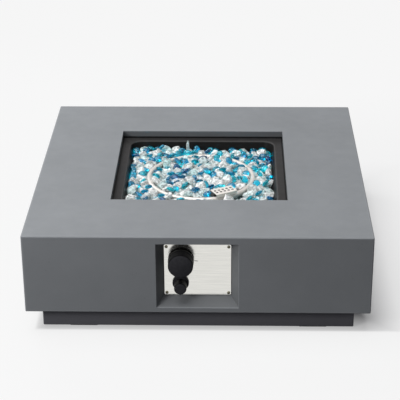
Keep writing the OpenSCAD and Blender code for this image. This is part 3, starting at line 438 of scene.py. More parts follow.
burner = stuff("burner_steel", tone(214, 209, 203), 0.42, 0.5, 0.4, 0.01, 0.04, Specular_IOR_Level=0.1)
dress(burner, "burner_ring", "ring_legs")
dress(stuff("pad_rubber", tone(38, 38, 38), 0.8, 0.6, depth=0.08), "foot_pads", "hose_grommet")
zinc = stuff("zinc_steel", tone(186, 188, 192), 0.36, 1.2, 1.0, 0.02)
dress(zinc, "plinth_bolts")
dark = stuff("dark_steel", tone(96, 92, 86), 0.38, 0.6, 1.0, 0.02)
dress(dark, "valve_screws", "shield_screws", "igniter_nut", "electrode_rod", "pilot_bracket")
alloy = stuff("valve_alloy", tone(176, 177, 178), 0.45, 0.8, 1.0, 0.06)
dress(alloy, "valve_body", "air_mixer")
dress(stuff("pipe_alloy", tone(190, 191, 193), 0.32, 0.7, 1.0, 0.02), "gas_pipe")
brass = stuff("fitting_brass", tone(205, 168, 96), 0.30, 0.7, 1.0, 0.02)
dress(brass, "burner_locknut", "gas_jet", "pipe_nuts", "magnet_nut", "inlet_fitting")
dress(brass, "stem_sleeve", "valve_stem")
dress(stuff("probe_copper", tone(196, 122, 84), 0.32, 0.7, 1.0, 0.02), "thermocouple", "thermocouple_lead")
dress(stuff("lead_sleeve", tone(30, 30, 31), 0.55, 0.4, depth=0.03), "ignition_lead")
dress(stuff("insulator_ceramic", tone(236, 232, 222), 0.22, 0.8, depth=0.01), "electrode_insulator")
dress(stuff("battery_wrap", tone(178, 140, 62), 0.35, 1.0, depth=0.01), "igniter_battery")

# %% [markdown]
# The pan is sheet steel in black heat-proof enamel. Its rolled lip gets a painted highlight, and the walls
# of its well and the outer edge of its flange get painted shade. The normal in Object space tells which way
# a
# face looks: the flange looks straight up and the walls look mostly sideways, so what lies between the two
# is the lip.

# %% Burner pan
# A painted highlight along the rolled lip.
LIP_HIGHLIGHT = tone(106, 105, 104)
LIP_HIGHLIGHT_SHARE = 0.22
LIP_FROM = (0.40, 0.60)
LIP_TO = (0.95, 0.995)
# Painted shade on the walls of the well.
WALL_SHADE = 0.6
WALL_TILT = (0.35, 0.60)
# Painted shade along the outer edge of the flange.
RIM_SHADE = (0.3 * MM, 0.9 * MM)


def facing(tree, axis):
    """How far a face looks along an axis of the table, from -1 to 1."""
    return split_xyz(tree, tree.nodes.new("ShaderNodeTexCoord").outputs["Normal"])[axis]


def overlay(material, share, colour):
    """Lays a colour over a finish, by a share from 0 to 1."""
    tree = material.node_tree
    base = tree.nodes["Principled BSDF"].inputs["Base Color"]
    tree.links.new(mix_colour(tree, share, base.links[0].from_socket, colour), base)


pan = stuff("pan_enamel", tone(50, 49, 49), 0.32, 0.9, depth=0.03, Specular_IOR_Level=0.035)
tree = pan.node_tree
# Painted highlight on the lip, where the face turns from the flange to the walls.
lip_highlight = to_range(tree, facing(tree, "Z"), 0.0, LIP_HIGHLIGHT_SHARE, *LIP_FROM)
lip_highlight = math_node(tree, "MULTIPLY", lip_highlight, to_range(tree, facing(tree, "Z"), 1.0, 0.0, *LIP_TO))
overlay(pan, lip_highlight, LIP_HIGHLIGHT)
# Painted shade on the walls of the well, which look sideways.
overlay(pan, to_range(tree, facing(tree, "Z"), WALL_SHADE, 0.0, *WALL_TILT), SOOT_AND_SHADE)
# Painted shade: the flange's outer edge turns near black, like a shadow gap.
reach = side_reach(tree, pan_low, pan_high)
rim = math_node(tree, "MINIMUM", reach[0], reach[1])
overlay(pan, to_range(tree, rim, 1.0, 0.0, *RIM_SHADE), SOOT_AND_SHADE)
dress(pan, "burner_pan")

# %% [markdown]
# The ignition shield is bright on top. Its faces that look down are painted near black, partly as soot
# from the flame and partly as painted shade, and so are the walls of the holes in its top and a narrow ring
# round each hole. The shield stands askew, so a Mapping node first turns the coordinates to run across it
# and along it. There the holes lie at even steps, and a Ping-Pong node folds all of them onto one.

# %% Shield with soot and painted shade
RING_TUBE = 6 * MM
SHIELD_ANGLE = math.radians(-61.2)
SHIELD_WIDTH = 30 * MM
SHIELD_IN = 9.4 * MM
SHIELD_LENGTH = 51 * MM
HOLE_STEP = 9.5 * MM
HOLE_R = 1.9 * MM
# Soot and painted shade round each hole.
HOLE_SOOT_AND_SHADE = (HOLE_R + 0.8 * MM, HOLE_R + 1.2 * MM)
UNDERSIDE = (-0.6, -0.2)

ring_low, ring_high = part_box("burner_ring")
ring_radius = (ring_high.x - ring_low.x) / 2 - RING_TUBE
ring_middle = np.array((0.0, ring_high.y - ring_radius - RING_TUBE, ring_high.z - RING_TUBE))
shield_reach = ring_radius - SHIELD_IN


def shield_offsets(tree):
    """Distances from the shield's middle, outwards from the ring's centre and along the ring."""
    place = tree.nodes.new("ShaderNodeTexCoord").outputs["Object"]
    turned = {"Location": (*ring_middle[:2], 0.0), "Rotation": (0.0, 0.0, SHIELD_ANGLE)}
    place = add_node(tree, "ShaderNodeMapping", {"vector_type": "TEXTURE"}, Vector=place, **turned)
    split = split_xyz(tree, place)
    out = math_node(tree, "ABSOLUTE", math_node(tree, "SUBTRACT", split["X"], shield_reach))
    return out, math_node(tree, "ABSOLUTE", split["Y"])


shield = stuff("shield_steel", tone(232, 227, 220), 0.45, 0.6, 0.2, 0.01, 0.05, Specular_IOR_Level=0.2)
tree = shield.node_tree
# The faces that look down: partly soot, partly painted shade.
overlay(shield, to_range(tree, facing(tree, "Z"), 1.0, 0.0, *UNDERSIDE), SOOT_AND_SHADE)
across, along = shield_offsets(tree)
across = math_node(tree, "SUBTRACT", across, HOLE_STEP / 2)
along = math_node(tree, "PINGPONG", along, HOLE_STEP / 2)
hole = add_node(tree, "ShaderNodeCombineXYZ", X=across, Y=along)
hole = add_node(tree, "ShaderNodeVectorMath", {"operation": "LENGTH"}, Vector=hole).outputs["Value"]
# Soot and painted shade on the hole walls and a narrow ring round each hole.
overlay(shield, to_range(tree, hole, 1.0, 0.0, *HOLE_SOOT_AND_SHADE), SOOT_AND_SHADE)
dress(shield, "ignition_shield")

# %% [markdown]
# The knob and the igniter are moulded in black plastic. Such plastic is nearly black inside, and what shows
# is the light that its fine spark-eroded skin scatters. The sides, where the fingers grip, are painted
# blacker than the front faces: painted shade, for the grip lies in the shadow of the recess's top.

# %% Moulded plastic
# Painted shade on the sides of the knob and the igniter.
GRIP_SHADE = tone(17, 17, 18)
FRONT_FACE = (-0.95, -0.55)

knob_plastic = stuff("knob_plastic", tone(54, 54, 57), 0.38, 0.35, depth=0.02, Specular_IOR_Level=0.03)
tree = knob_plastic.node_tree
# Painted shade: faces that don't look to the front turn blacker.
overlay(knob_plastic, to_range(tree, facing(tree, "Y"), 0.0, 1.0, *FRONT_FACE), GRIP_SHADE)
dress(knob_plastic, "control_knob", "igniter_bezel", "igniter_button", "igniter_cap")

# %% [markdown]
# The control plate is stainless sheet, brushed from side to side. Brushing is a noise stretched along one
# axis: very long across the plate, very fine up and down it. It drives the gloss and a faint relief.

# %% Brushed plate
def brushed_steel(name, colour):
    """Sheet steel with brush lines along X."""
    material, tree, skin = new_finish(name, Metallic=1.0, Anisotropic=0.5)
    lines = noise(tree, 60.0, 6.0, (0.25, 30.0, 30.0))
    streaks = noise(tree, 25.0, 2.0, (0.6, 14.0, 14.0))
    base = ramp(tree, lines, (0.3, shade(colour, 0.93)), (0.7, shade(colour, 1.04)))
    base = mix_colour(tree, to_range(tree, streaks, 0.0, 0.14), base, shade(colour, 0.5))
    tree.links.new(base, skin.inputs["Base Color"])
    tree.links.new(to_range(tree, streaks, 0.14, 0.19), skin.inputs["Roughness"])
    set_bump(tree, skin, lines, 0.01 * MM)
    return material


dress(brushed_steel("plate_steel", tone(245, 244, 238)), "control_plate")

# %% [markdown]
# What repeats is made by Geometry Nodes. A tree is built here in code, with named inputs for its sizes. An
# object carries it as a modifier, the inputs are set by their identifiers, and the evaluated result is then
# kept as a plain mesh. The helpers below do this for each tree.

# %% Helpers for Geometry Nodes
SOCKET_TYPES = {
    "int": "NodeSocketInt",
    "float": "NodeSocketFloat",
    "vector": "NodeSocketVector",
    "object": "NodeSocketObject",
    "collection": "NodeSocketCollection",
    "material": "NodeSocketMaterial",
}


def new_tree(name, **inputs):
    """A Geometry Nodes tree with a geometry input, named inputs and a geometry output."""
    tree = bpy.data.node_groups.new(name, "GeometryNodeTree")
    tree.interface.new_socket("Geometry", in_out="INPUT", socket_type="NodeSocketGeometry")
    tree.interface.new_socket("Geometry", in_out="OUTPUT", socket_type="NodeSocketGeometry")
    for label, kind in inputs.items():
        tree.interface.new_socket(label, in_out="INPUT", socket_type=SOCKET_TYPES[kind])
    return tree, tree.nodes.new("NodeGroupInput").outputs


def end_tree(tree, geometry, finish):
    """Ends a tree in Realize Instances and Set Material."""
    real = add_node(tree, "GeometryNodeRealizeInstances", Geometry=geometry)
    paint = add_node(tree, "GeometryNodeSetMaterial", Geometry=real, Material=finish)
    add_node(tree, "NodeGroupOutput", Geometry=paint)
    return tree


def grow(name, tree, mesh=None, **values):
    """Runs a tree on a mesh, or an empty one, and keeps the result as a plain mesh on a new object."""
    carrier = add_object(name + "_carrier", mesh or bpy.data.meshes.new("nothing"))
    modifier = carrier.modifiers.new("grow", "NODES")
    modifier.node_group = tree
    for socket in tree.interface.items_tree:
        if socket.in_out == "INPUT" and socket.name in values:
            modifier[socket.identifier] = values[socket.name]
    made = carrier.evaluated_get(bpy.context.evaluated_depsgraph_get())
    result = bpy.data.meshes.new_from_object(made)
    carrier.modifiers.clear()
    bpy.data.objects.remove(carrier)
    result.name = name
    print(name, len(result.polygons), "faces")
    return add_object(name, result)


def keep(piece, slot, *stands_for):
    """Makes a piece ride on the table and hides the CAD nodes that it stands for. The slot is not used."""
    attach(piece, "table")
    if stands_for:
        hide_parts(*stands_for)


def mesh_of(shell, name):
    """Turns a bmesh into a mesh, with its faces in the same order in every run, and frees it."""
    shell.verts.index_update()
    faces = sorted([v.index for v in face.verts] for face in shell.faces)
    mesh = bpy.data.meshes.new(name)
    mesh.from_pydata([v.co[:] for v in shell.verts], [], faces)
    shell.free()
    return mesh


# %% [markdown]
# Four small dark screws hold the plate. Their heads are domed and have a cross recess, which is cut as real
# geometry. The head is turned as a grid of rings and spokes, and the points that lie in a cross are pushed
# down.

# %% Screw head
SCREW_RINGS = 9
SCREW_SPOKES = 32
DOME_FALL = 0.85
CROSS_ARM = 0.16
CROSS_REACH = 0.62


def screw_head(radius, height, recess):
    """A domed head on the XY plane with a cross recess, closed underneath."""
    shell = bmesh.new()
    rows = []
    for ring in range(SCREW_RINGS + 1):
        share = ring / SCREW_RINGS
        row = []
        for spoke in range(SCREW_SPOKES):
            angle = 2 * math.pi * spoke / SCREW_SPOKES
            x, y = radius * share * math.cos(angle), radius * share * math.sin(angle)
            z = height * math.sqrt(1 - DOME_FALL * share * share)
            near, far = min(abs(x), abs(y)), max(abs(x), abs(y))
            arm = near < CROSS_ARM * radius and far < CROSS_REACH * radius
            row.append(shell.verts.new((x, y, z - (recess if arm else 0))))
            if ring == 0:
                break
        rows.append(row)
    rows.append([shell.verts.new((v.co.x, v.co.y, 0)) for v in rows[-1]])
    for spoke in range(SCREW_SPOKES):
        after = (spoke + 1) % SCREW_SPOKES
        shell.faces.new((rows[0][0], rows[1][spoke], rows[1][after]))
        for inner, outer in zip(rows[1:], rows[2:]):
            shell.faces.new((inner[spoke], outer[spoke], outer[after], inner[after]))
    shell.faces.new(list(reversed(rows[-1])))
    bmesh.ops.recalc_face_normals(shell, faces=shell.faces)
    return mesh_of(shell, "screw_head")


# %% [markdown]
# Geometry Nodes set the head on the four points of a two by two grid, and stand the grid up on the plate.

# %% Plate screws
PLATE_SCREW_R = 3.3 * MM
RECESS_DEPTH = 0.9 * MM
UPRIGHT = Euler((math.radians(90), 0, 0))


def corner_tree():
    """Sets an object on the four corners of a rectangle that faces the front."""
    inputs = {"Head": "object", "Width": "float", "Height": "float", "Middle": "vector"}
    tree, given = new_tree("Corner screws", **inputs, Finish="material")
    sides = {"Size_X": given["Width"], "Size_Y": given["Height"]}
    grid = add_node(tree, "GeometryNodeMeshGrid", Vertices_X=2, Vertices_Y=2, **sides)
    head = add_node(tree, "GeometryNodeObjectInfo", Object=given["Head"]).outputs["Geometry"]
    put = add_node(tree, "GeometryNodeInstanceOnPoints", Points=grid, Instance=head)
    turned = {"Translation": given["Middle"], "Rotation": UPRIGHT}
    stand = add_node(tree, "GeometryNodeTransform", Geometry=put, **turned)
    return end_tree(tree, stand, given["Finish"])


plate_low, plate_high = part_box("control_plate")
screw_low, screw_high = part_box("plate_screws")
plate_front = plate_low.y
head = add_object("head_pattern", screw_head(PLATE_SCREW_R, plate_front - screw_low.y, RECESS_DEPTH))
middle = (plate_low + plate_high) / 2
plate_screws = grow(
    "screw_heads",
    corner_tree(),
    Head=head,
    Width=screw_high.x - screw_low.x - 2 * PLATE_SCREW_R,
    Height=screw_high.z - screw_low.z - 2 * PLATE_SCREW_R,
    Middle=(middle.x, plate_front, middle.z),
    Finish=stuff("screw_steel", tone(122, 118, 102), 0.30, 0.6, 1.0, 0.02),
)
bpy.data.objects.remove(head)
keep(plate_screws, "dark_steel", "plate_screws")

# %% [markdown]
# The plate carries plain dial marks round the knob: short printed strokes at even steps. Each stroke is a
# thin bar that points at the knob's axis. Geometry Nodes turn an index into an angle and set one bar there.

# %% Dial marks
MARK_COUNT = 4
MARK_RADIUS = 31 * MM
MARK_FIRST = math.radians(-4)
MARK_STEP = math.radians(-45)
MARK_BAR = Vector((7, 0.15, 1.2)) * MM


def dial_tree():
    """Bars at even steps along an arc that faces the front."""
    inputs = {"Count": "int", "Radius": "float", "First": "float", "Step": "float", "Bar": "vector"}
    tree, given = new_tree("Dial marks", **inputs, Middle="vector", Finish="material")
    index = tree.nodes.new("GeometryNodeInputIndex")
    angle = math_node(tree, "MULTIPLY", index, given["Step"])
    angle = math_node(tree, "ADD", angle, given["First"])
    across = math_node(tree, "MULTIPLY", math_node(tree, "COSINE", angle), given["Radius"])
    up = math_node(tree, "MULTIPLY", math_node(tree, "SINE", angle), given["Radius"])
    back = math_node(tree, "MULTIPLY", angle, -1.0)
    place = add_node(tree, "ShaderNodeCombineXYZ", X=across, Z=up)
    spin = add_node(tree, "ShaderNodeCombineXYZ", Y=back)
    points = add_node(tree, "GeometryNodePoints", Count=given["Count"], Position=place)
    bar = add_node(tree, "GeometryNodeMeshCube", Size=given["Bar"])
    put = add_node(tree, "GeometryNodeInstanceOnPoints", Points=points, Instance=bar, Rotation=spin)
    move = add_node(tree, "GeometryNodeTransform", Geometry=put, Translation=given["Middle"])
    return end_tree(tree, move, given["Finish"])


knob_low, knob_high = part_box("control_knob")
knob_middle = (knob_low + knob_high) / 2
dial_marks = grow(
    "dial_marks",
    dial_tree(),
    Count=MARK_COUNT,
    Radius=MARK_RADIUS,
    First=MARK_FIRST,
    Step=MARK_STEP,
    Bar=MARK_BAR,
    Middle=(knob_middle.x, plate_front - MARK_BAR.y / 2, knob_middle.z),
    Finish=stuff("dial_ink", tone(58, 58, 56), 0.5, 0.3, depth=0.01),
)
keep(dial_marks, "dark_steel")

# %% [markdown]
# Two coil springs bring the knob and the button back out. A spring shortens while its joint is pushed in.
# A new coil stands for each: Geometry Nodes draw a spiral and sweep a round wire along it.

# %% Return springs
SPRING_TURNS = 4.0
TURN_POINTS = 24
WIRE_SIDES = 8
VALVE_WIRE_R = 0.35 * MM
BUTTON_WIRE_R = 0.45 * MM
BACKWARDS = Euler((math.radians(-90), 0, 0))


def coil_tree():
    """A coil of round wire that runs back along Y from its front end."""
    inputs = {"Turns": "float", "Radius": "float", "Wire": "float", "Length": "float", "Front": "vector"}
    tree, given = new_tree("Return spring", **inputs, Finish="material")
    sizes = {"Start_Radius": given["Radius"], "End_Radius": given["Radius"], "Height": given["Length"]}
    turns = {"Resolution": TURN_POINTS, "Rotations": given["Turns"]}
    path = add_node(tree, "GeometryNodeCurveSpiral", **turns, **sizes)
    round_wire = {"Resolution": WIRE_SIDES, "Radius": given["Wire"]}
    wire = add_node(tree, "GeometryNodeCurvePrimitiveCircle", **round_wire)
    sweep = add_node(tree, "GeometryNodeCurveToMesh", Curve=path, Profile_Curve=wire, Fill_Caps=True)
    turned = {"Translation": given["Front"], "Rotation": BACKWARDS}
    lay = add_node(tree, "GeometryNodeTransform", Geometry=sweep, **turned)
    return end_tree(tree, lay, given["Finish"])


def return_spring(name, node_name, wire):
    """A coil that stands for a CAD spring."""
    low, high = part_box(node_name)
    middle, length = (low + high) / 2, high.y - low.y
    coil = grow(
        name,
        spring_tree,
        Turns=SPRING_TURNS,
        Radius=(high.x - low.x) / 2 - wire,
        Wire=wire,
        Length=length - 2 * wire,
        Front=(middle.x, low.y + wire, middle.z),
        Finish=zinc,
    )
    keep(coil, "zinc_steel", node_name)
    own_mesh(coil)


spring_tree = coil_tree()
return_spring("sleeve_coil", "sleeve_spring", VALVE_WIRE_R)
return_spring("button_coil", "button_spring", BUTTON_WIRE_R)

# %% [markdown]
# The fire glass is a poured heap, so it is poured here too. Each piece is a ball while it falls, and four
# rules say where it can't be: in the pan's sloped walls, in its round corners, on the burner's ring and
# under the ignition shield. A rule moves all the balls that break it at once, with numpy. Broken pieces fit
# closer to a wall than balls do, so the walls ask for a share of a ball's radius. The ring and the shield
# ask for a little more than all of it, and so stay clear.

# %% Room for the glass
WALL_DRAFT = math.tan(math.radians(18))
WELL_CORNER = 22 * MM
FILL_DEPTH = 9 * MM
WALL_ROOM = 0.9
FLOOR_ROOM = 0.7
CORNER_ROOM = 0.6
RING_ROOM = 1.1

bed_low, bed_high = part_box("fire_glass_bed")
bed_half = np.array((bed_high.x, (bed_high.y - bed_low.y) / 2))
fill_top = bed_high.z - FILL_DEPTH


def out_of_walls(place, size):
    """Moves balls into the drafted well."""
    for axis in range(2):
        room = bed_half[axis] + (place[:, 2] - bed_high.z) * WALL_DRAFT - size * WALL_ROOM
        middle = ring_middle[axis]
        place[:, axis] = np.clip(place[:, axis], middle - room, middle + room)
    place[:, 2] = np.maximum(place[:, 2], fill_top + size * FLOOR_ROOM)


def out_of_corners(place, size):
    """Moves balls out of the well's round corners."""
    flat = place[:, :2] - ring_middle[:2]
    core = bed_half - WELL_CORNER
    over = np.abs(flat) - core
    both = (over > 0).all(1)
    reach = np.linalg.norm(over, axis=1)
    room = WELL_CORNER + (place[:, 2] - bed_high.z) * WALL_DRAFT - size * CORNER_ROOM
    factor = np.where(both & (reach > room), np.maximum(room, 0) / np.maximum(reach, 1e-9), 1.0)
    moved = np.sign(flat) * (core + over * factor[:, None])
    place[:, :2] = np.where((factor < 1)[:, None], moved, flat) + ring_middle[:2]


def out_of_ring(place, size):
    """Moves balls off the burner's tube, to the side of it that they lie on."""
    flat = place[:, :2] - ring_middle[:2]
    reach = np.maximum(np.linalg.norm(flat, axis=1), 1e-9)
    side = reach - ring_radius
    push = np.sign(side) * np.maximum(size * RING_ROOM + RING_TUBE - np.abs(side), 0)
    place[:, :2] += flat / reach[:, None] * push[:, None]


def out_of_shield(place, size):
    """Moves balls out of the space under the ignition shield."""
    c, s = math.cos(SHIELD_ANGLE), math.sin(SHIELD_ANGLE)
    flat = place[:, :2] - ring_middle[:2]
    along, across = flat[:, 0] * c + flat[:, 1] * s, flat[:, 1] * c - flat[:, 0] * s
    deep_x = SHIELD_WIDTH / 2 + size * RING_ROOM - np.abs(along - shield_reach)
    deep_y = SHIELD_LENGTH / 2 + size * RING_ROOM - np.abs(across)
    inside = (deep_x > 0) & (deep_y > 0)
    by_x = inside & (deep_x < deep_y)
    by_y = inside & ~by_x
    along = along + np.where(by_x, np.sign(along - shield_reach) * deep_x, 0)
    across = across + np.where(by_y, np.sign(across) * deep_y, 0)
    place[:, 0] = along * c - across * s + ring_middle[0]
    place[:, 1] = along * s + across * c + ring_middle[1]


print("well", (2 * bed_half / MM).round(1), "mm, filled to", round(fill_top / MM, 1), "mm")

# %% [markdown]
# At every step of the pour the balls sink a little, and are then pushed out of each other and out of what
# the rules name. After some hundred steps they lie as poured pieces do. A hand then levels such a bed, so
# each ball also has a lid near the ring's top. The blue pieces are a little smaller than the clear ones.
# They are poured last, strewn evenly and rather to the back, and lie on top of the heap.

# %% Pour the glass
GLASS_SEED = 11
GLASS_COUNT = 580
BLUE_SHARE = 0.27
CLEAR_R = (8.6 * MM, 12.0 * MM)
BLUE_R = (7.6 * MM, 9.2 * MM)
DROP_MM = (10, 60)
BLUE_LATE = 45 * MM
STREW_STEP = np.array((0.7549, 0.5698))
CLEAR_SUNK = 0.9
BLUE_SUNK = 0.1
LEVEL_OVER_RING = 2.5 * MM
LEVEL_SPREAD = 3.0 * MM
POUR_STEPS = 260
SINK = 0.9 * MM
PUSH = 0.35
PACKING = 0.90

glass_level = ring_high.z + LEVEL_OVER_RING
rng = np.random.default_rng(GLASS_SEED)


def towards_back(share):
    """Even shares from -1 to 1, made denser towards 1."""
    return 2 * np.sqrt(1.25 + share) - 2


def pour(size, late):
    """Places of poured balls of these radii. The late ones come last and lie highest."""
    count = len(size)
    place = np.empty((count, 3))
    start = rng.uniform(-1, 1, (count, 2))
    start[late] = np.arange(late.sum())[:, None] * STREW_STEP % 1 * 2 - 1
    start[late, 1] = towards_back(start[late, 1])
    place[:, :2] = start * bed_half + ring_middle[:2]
    place[:, 2] = fill_top + rng.uniform(*DROP_MM, count) * MM + late * BLUE_LATE
    lid = glass_level + rng.normal(0, LEVEL_SPREAD, count) - size * np.where(late, BLUE_SUNK, CLEAR_SUNK)
    reach = (size[:, None] + size[None, :]) * PACKING
    for step in range(POUR_STEPS):
        place[:, 2] -= SINK * (1 - step / POUR_STEPS)
        apart = place[:, None] - place[None]
        gap = np.sqrt((apart**2).sum(2)) + np.eye(count)
        deep = np.maximum(reach - gap, 0) * (1 - np.eye(count))
        place += (apart * (deep / gap)[:, :, None]).sum(1) * PUSH
        for rule in (out_of_ring, out_of_shield, out_of_corners, out_of_walls):
            rule(place, size)
        place[:, 2] = np.minimum(place[:, 2], lid)
    return place


is_blue = rng.uniform(0, 1, GLASS_COUNT) < BLUE_SHARE
glass_size = np.where(is_blue, rng.uniform(*BLUE_R, GLASS_COUNT), rng.uniform(*CLEAR_R, GLASS_COUNT))
glass_place = pour(glass_size, is_blue)
glass_tops = np.percentile(glass_place[:, 2] + glass_size, (25, 50, 75, 100)) / MM
print("glass pieces", GLASS_COUNT, "tops", glass_tops.round(1), "mm")

# %% [markdown]
# Two kinds of glass are mixed. The clear kind is broken glass: the hull of a few random points gives flat
# facets that sparkle. The blue kind is a flat round bead, a squashed sphere. A few patterns of each are
# enough, because Geometry Nodes turn and scale every copy by its own chance.

# %% Glass patterns
LUMP_KINDS = 8
LUMP_POINTS = 20
LUMP_SPREAD = (0.92, 1.10)
LUMP_DENT = 0.12
LUMP_FORM = np.array((1.12, 1.0, 0.64))
BEAD_RISE = 0.50
BEAD_BELLY = 0.34


def lump_mesh(index):
    """A broken lump about 2 units across: the hull of random points, some of them then dented."""
    points = rng.normal(size=(LUMP_POINTS, 3))
    points /= np.linalg.norm(points, axis=1)[:, None]
    points *= rng.uniform(*LUMP_SPREAD, (LUMP_POINTS, 1)) * LUMP_FORM
    shell = bmesh.new()
    for point in points:
        shell.verts.new(point)
    hull = bmesh.ops.convex_hull(shell, input=shell.verts)
    spare = [v for v in hull["geom_interior"] if isinstance(v, bmesh.types.BMVert)]
    bmesh.ops.delete(shell, geom=spare, context="VERTS")
    for vert in shell.verts:
        vert.co *= 1 - LUMP_DENT * max(0.0, rng.uniform(-1, 1))
    bmesh.ops.recalc_face_normals(shell, faces=shell.faces)
    return mesh_of(shell, f"lump_{index}")


def bead_mesh(index):
    """A flat round bead about 2 units across, with a flatter underside."""
    shell = bmesh.new()
    bmesh.ops.create_uvsphere(shell, u_segments=12, v_segments=6, radius=1.0)
    for vert in shell.verts:
        vert.co.z *= BEAD_RISE if vert.co.z > 0 else BEAD_BELLY
    mesh = mesh_of(shell, f"bead_{index}")
    mesh.shade_smooth()
    return mesh


def pattern_collection(name, make, count):
    """A collection of pattern objects that isn't in the scene."""
    group = bpy.data.collections.new(name)
    for index in range(count):
        group.objects.link(bpy.data.objects.new(f"{name}_{index}", make(index)))
    print(name, count)
    return group


lump_patterns = pattern_collection("lump_patterns", lump_mesh, LUMP_KINDS)
bead_patterns = pattern_collection("bead_patterns", bead_mesh, 1)

# %% [markdown]
# Clear glass shows what is behind it, bent, and its facets mirror the room. In a heap most of the light
# goes round inside and comes out white, so part of the shader is a pale body colour, and the rest lets
# light through. The blue beads take their colour from a value that each bead carries.

# %% Glass finishes
CLEAR_STOPS = ((0.0, tone(238, 251, 247)), (0.5, tone(251, 251, 248)), (1.0, tone(212, 245, 244)))
BLUE_STOPS = (
    (0.0, tone(0, 116, 176)),
    (0.35, tone(0, 190, 224)),
    (0.7, tone(0, 224, 242)),
    (1.0, tone(0, 150, 202)),
)
HAZE = {"Subsurface_Weight": 0.6, "Subsurface_Radius": (1, 1, 1), "Subsurface_Scale": 12 * MM}
WAVE_SPAN = (0.4, 0.6)


def glass_finish(name, through, gloss, crinkle, relief, stops, **sockets):
    """Glass coloured by each piece's tint. The share of light that it lets through goes up and down."""
    material, tree, skin = new_finish(name, IOR=1.5, Roughness=gloss, **sockets)
    tint = add_node(tree, "ShaderNodeAttribute", {"attribute_name": "tint"}).outputs["Fac"]
    tree.links.new(ramp(tree, tint, *stops), skin.inputs["Base Color"])
    waves = noise(tree, 1 / crinkle, 3.0)
    tree.links.new(to_range(tree, waves, *through, *WAVE_SPAN), skin.inputs["Transmission Weight"])
    set_bump(tree, skin, waves, relief)
    print(name, "lets through", through)
    return material


clear_shine = {"Specular_IOR_Level": 0.2, **HAZE}
glass_clear = glass_finish("glass_clear", (0.0, 0.65), 0.03, 7 * MM, 0.22 * MM, CLEAR_STOPS, **clear_shine)
blue_shine = {"Specular_IOR_Level": 0.06}
glass_blue = glass_finish("glass_blue", (0.75, 0.95), 0.02, 9 * MM, 0.15 * MM, BLUE_STOPS, **blue_shine)

# %% [markdown]
# Each ball of the pour now becomes a piece of glass. Its place is a point that carries the ball's size and
# a tint of its own. A Geometry Nodes tree sets one of the patterns on each point, leans and turns it by
# chance, and scales it by the size.

# %% Tree for strewn glass
def scatter_tree():
    """Sets a random pattern on each point, turned by chance and scaled by the point's own size."""
    inputs = {"Patterns": "collection", "Varieties": "int", "Scale": "float", "Seed": "int"}
    tree, given = new_tree("Poured glass", **inputs, Lean="float", Finish="material")
    single = {"Separate_Children": True, "Reset_Children": True}
    info = add_node(tree, "GeometryNodeCollectionInfo", Collection=given["Patterns"], **single)
    pick = add_node(tree, "FunctionNodeRandomValue", {"data_type": "INT"}, Seed=given["Seed"])
    pick.inputs[4].default_value = 0
    tree.links.new(math_node(tree, "SUBTRACT", given["Varieties"], 1.0), pick.inputs[5])
    spin = add_node(tree, "FunctionNodeRandomValue", {"data_type": "FLOAT_VECTOR"}, Seed=given["Seed"])
    lean_back = math_node(tree, "MULTIPLY", given["Lean"], -1.0)
    low = add_node(tree, "ShaderNodeCombineXYZ", X=lean_back)
    high = add_node(tree, "ShaderNodeCombineXYZ", X=given["Lean"], Y=given["Lean"], Z=2 * math.pi)
    for socket, end in zip(spin.inputs, (low, high)):
        put_in(tree, socket, end)
    size = add_node(tree, "GeometryNodeInputNamedAttribute", {"data_type": "FLOAT"}, Name="size")
    chance = {
        "Pick_Instance": True,
        "Instance_Index": pick.outputs[2],
        "Rotation": spin.outputs[0],
        "Scale": math_node(tree, "MULTIPLY", size, given["Scale"]),
    }
    copies = {"Points": given["Geometry"], "Instance": info, **chance}
    put = add_node(tree, "GeometryNodeInstanceOnPoints", **copies)
    return end_tree(tree, put, given["Finish"])


pour_tree = scatter_tree()
print(pour_tree.name, len(pour_tree.nodes), "nodes")

# %% [markdown]
# The clear lumps and the blue beads grow from the same tree. Corners that would poke through the pan's
# walls are pressed flat against them.

# %% Strewn glass
LUMP_SCALE = 1.45
LUMP_LEAN = 0.7
BEAD_SCALE = 1.10
BEAD_LEAN = 0.9


def point_mesh(name, place, size):
    """Loose points that carry a size and a tint."""
    mesh = bpy.data.meshes.new(name)
    mesh.from_pydata(place.tolist(), [], [])
    mesh.attributes.new("size", "FLOAT", "POINT").data.foreach_set("value", size.astype(np.float32))
    tint = rng.uniform(0, 1, len(size)).astype(np.float32)
    mesh.attributes.new("tint", "FLOAT", "POINT").data.foreach_set("value", tint)
    return mesh


def inside_well(piece):
    """Presses the corners that poke through the pan's walls flat against them."""
    corners = np.empty(len(piece.data.vertices) * 3)
    piece.data.vertices.foreach_get("co", corners)
    corners = corners.reshape(-1, 3)
    for rule in (out_of_corners, out_of_walls):
        rule(corners, np.zeros(len(corners)))
    piece.data.vertices.foreach_set("co", corners.ravel())


clear_lumps = grow(
    "clear_lumps",
    pour_tree,
    point_mesh("clear_points", glass_place[~is_blue], glass_size[~is_blue]),
    Patterns=lump_patterns,
    Varieties=LUMP_KINDS,
    Scale=LUMP_SCALE,
    Seed=GLASS_SEED,
    Lean=LUMP_LEAN,
    Finish=glass_clear,
)
inside_well(clear_lumps)
keep(clear_lumps, "glass_clear", "clear_glass_lumps")
blue_beads = grow(
    "blue_beads",
    pour_tree,
    point_mesh("blue_points", glass_place[is_blue], glass_size[is_blue]),
    Patterns=bead_patterns,
    Varieties=1,
    Scale=BEAD_SCALE,
    Seed=GLASS_SEED + 1,
    Lean=BEAD_LEAN,
    Finish=glass_blue,
)
inside_well(blue_beads)
keep(blue_beads, "glass_blue", "blue_glass_beads")

# %% [markdown]
# One clear chip at the back has come to stand on end, wedged between its neighbours. It is one more broken
# lump, drawn out to its height and set at a listed place, with its foot in the heap.

# %% Standing chip
CHIP_MIDDLE = Vector((-33.7, 148.0, 208.0)) * MM
CHIP_HALF = Vector((4.8, 3.2, 14.0)) * MM

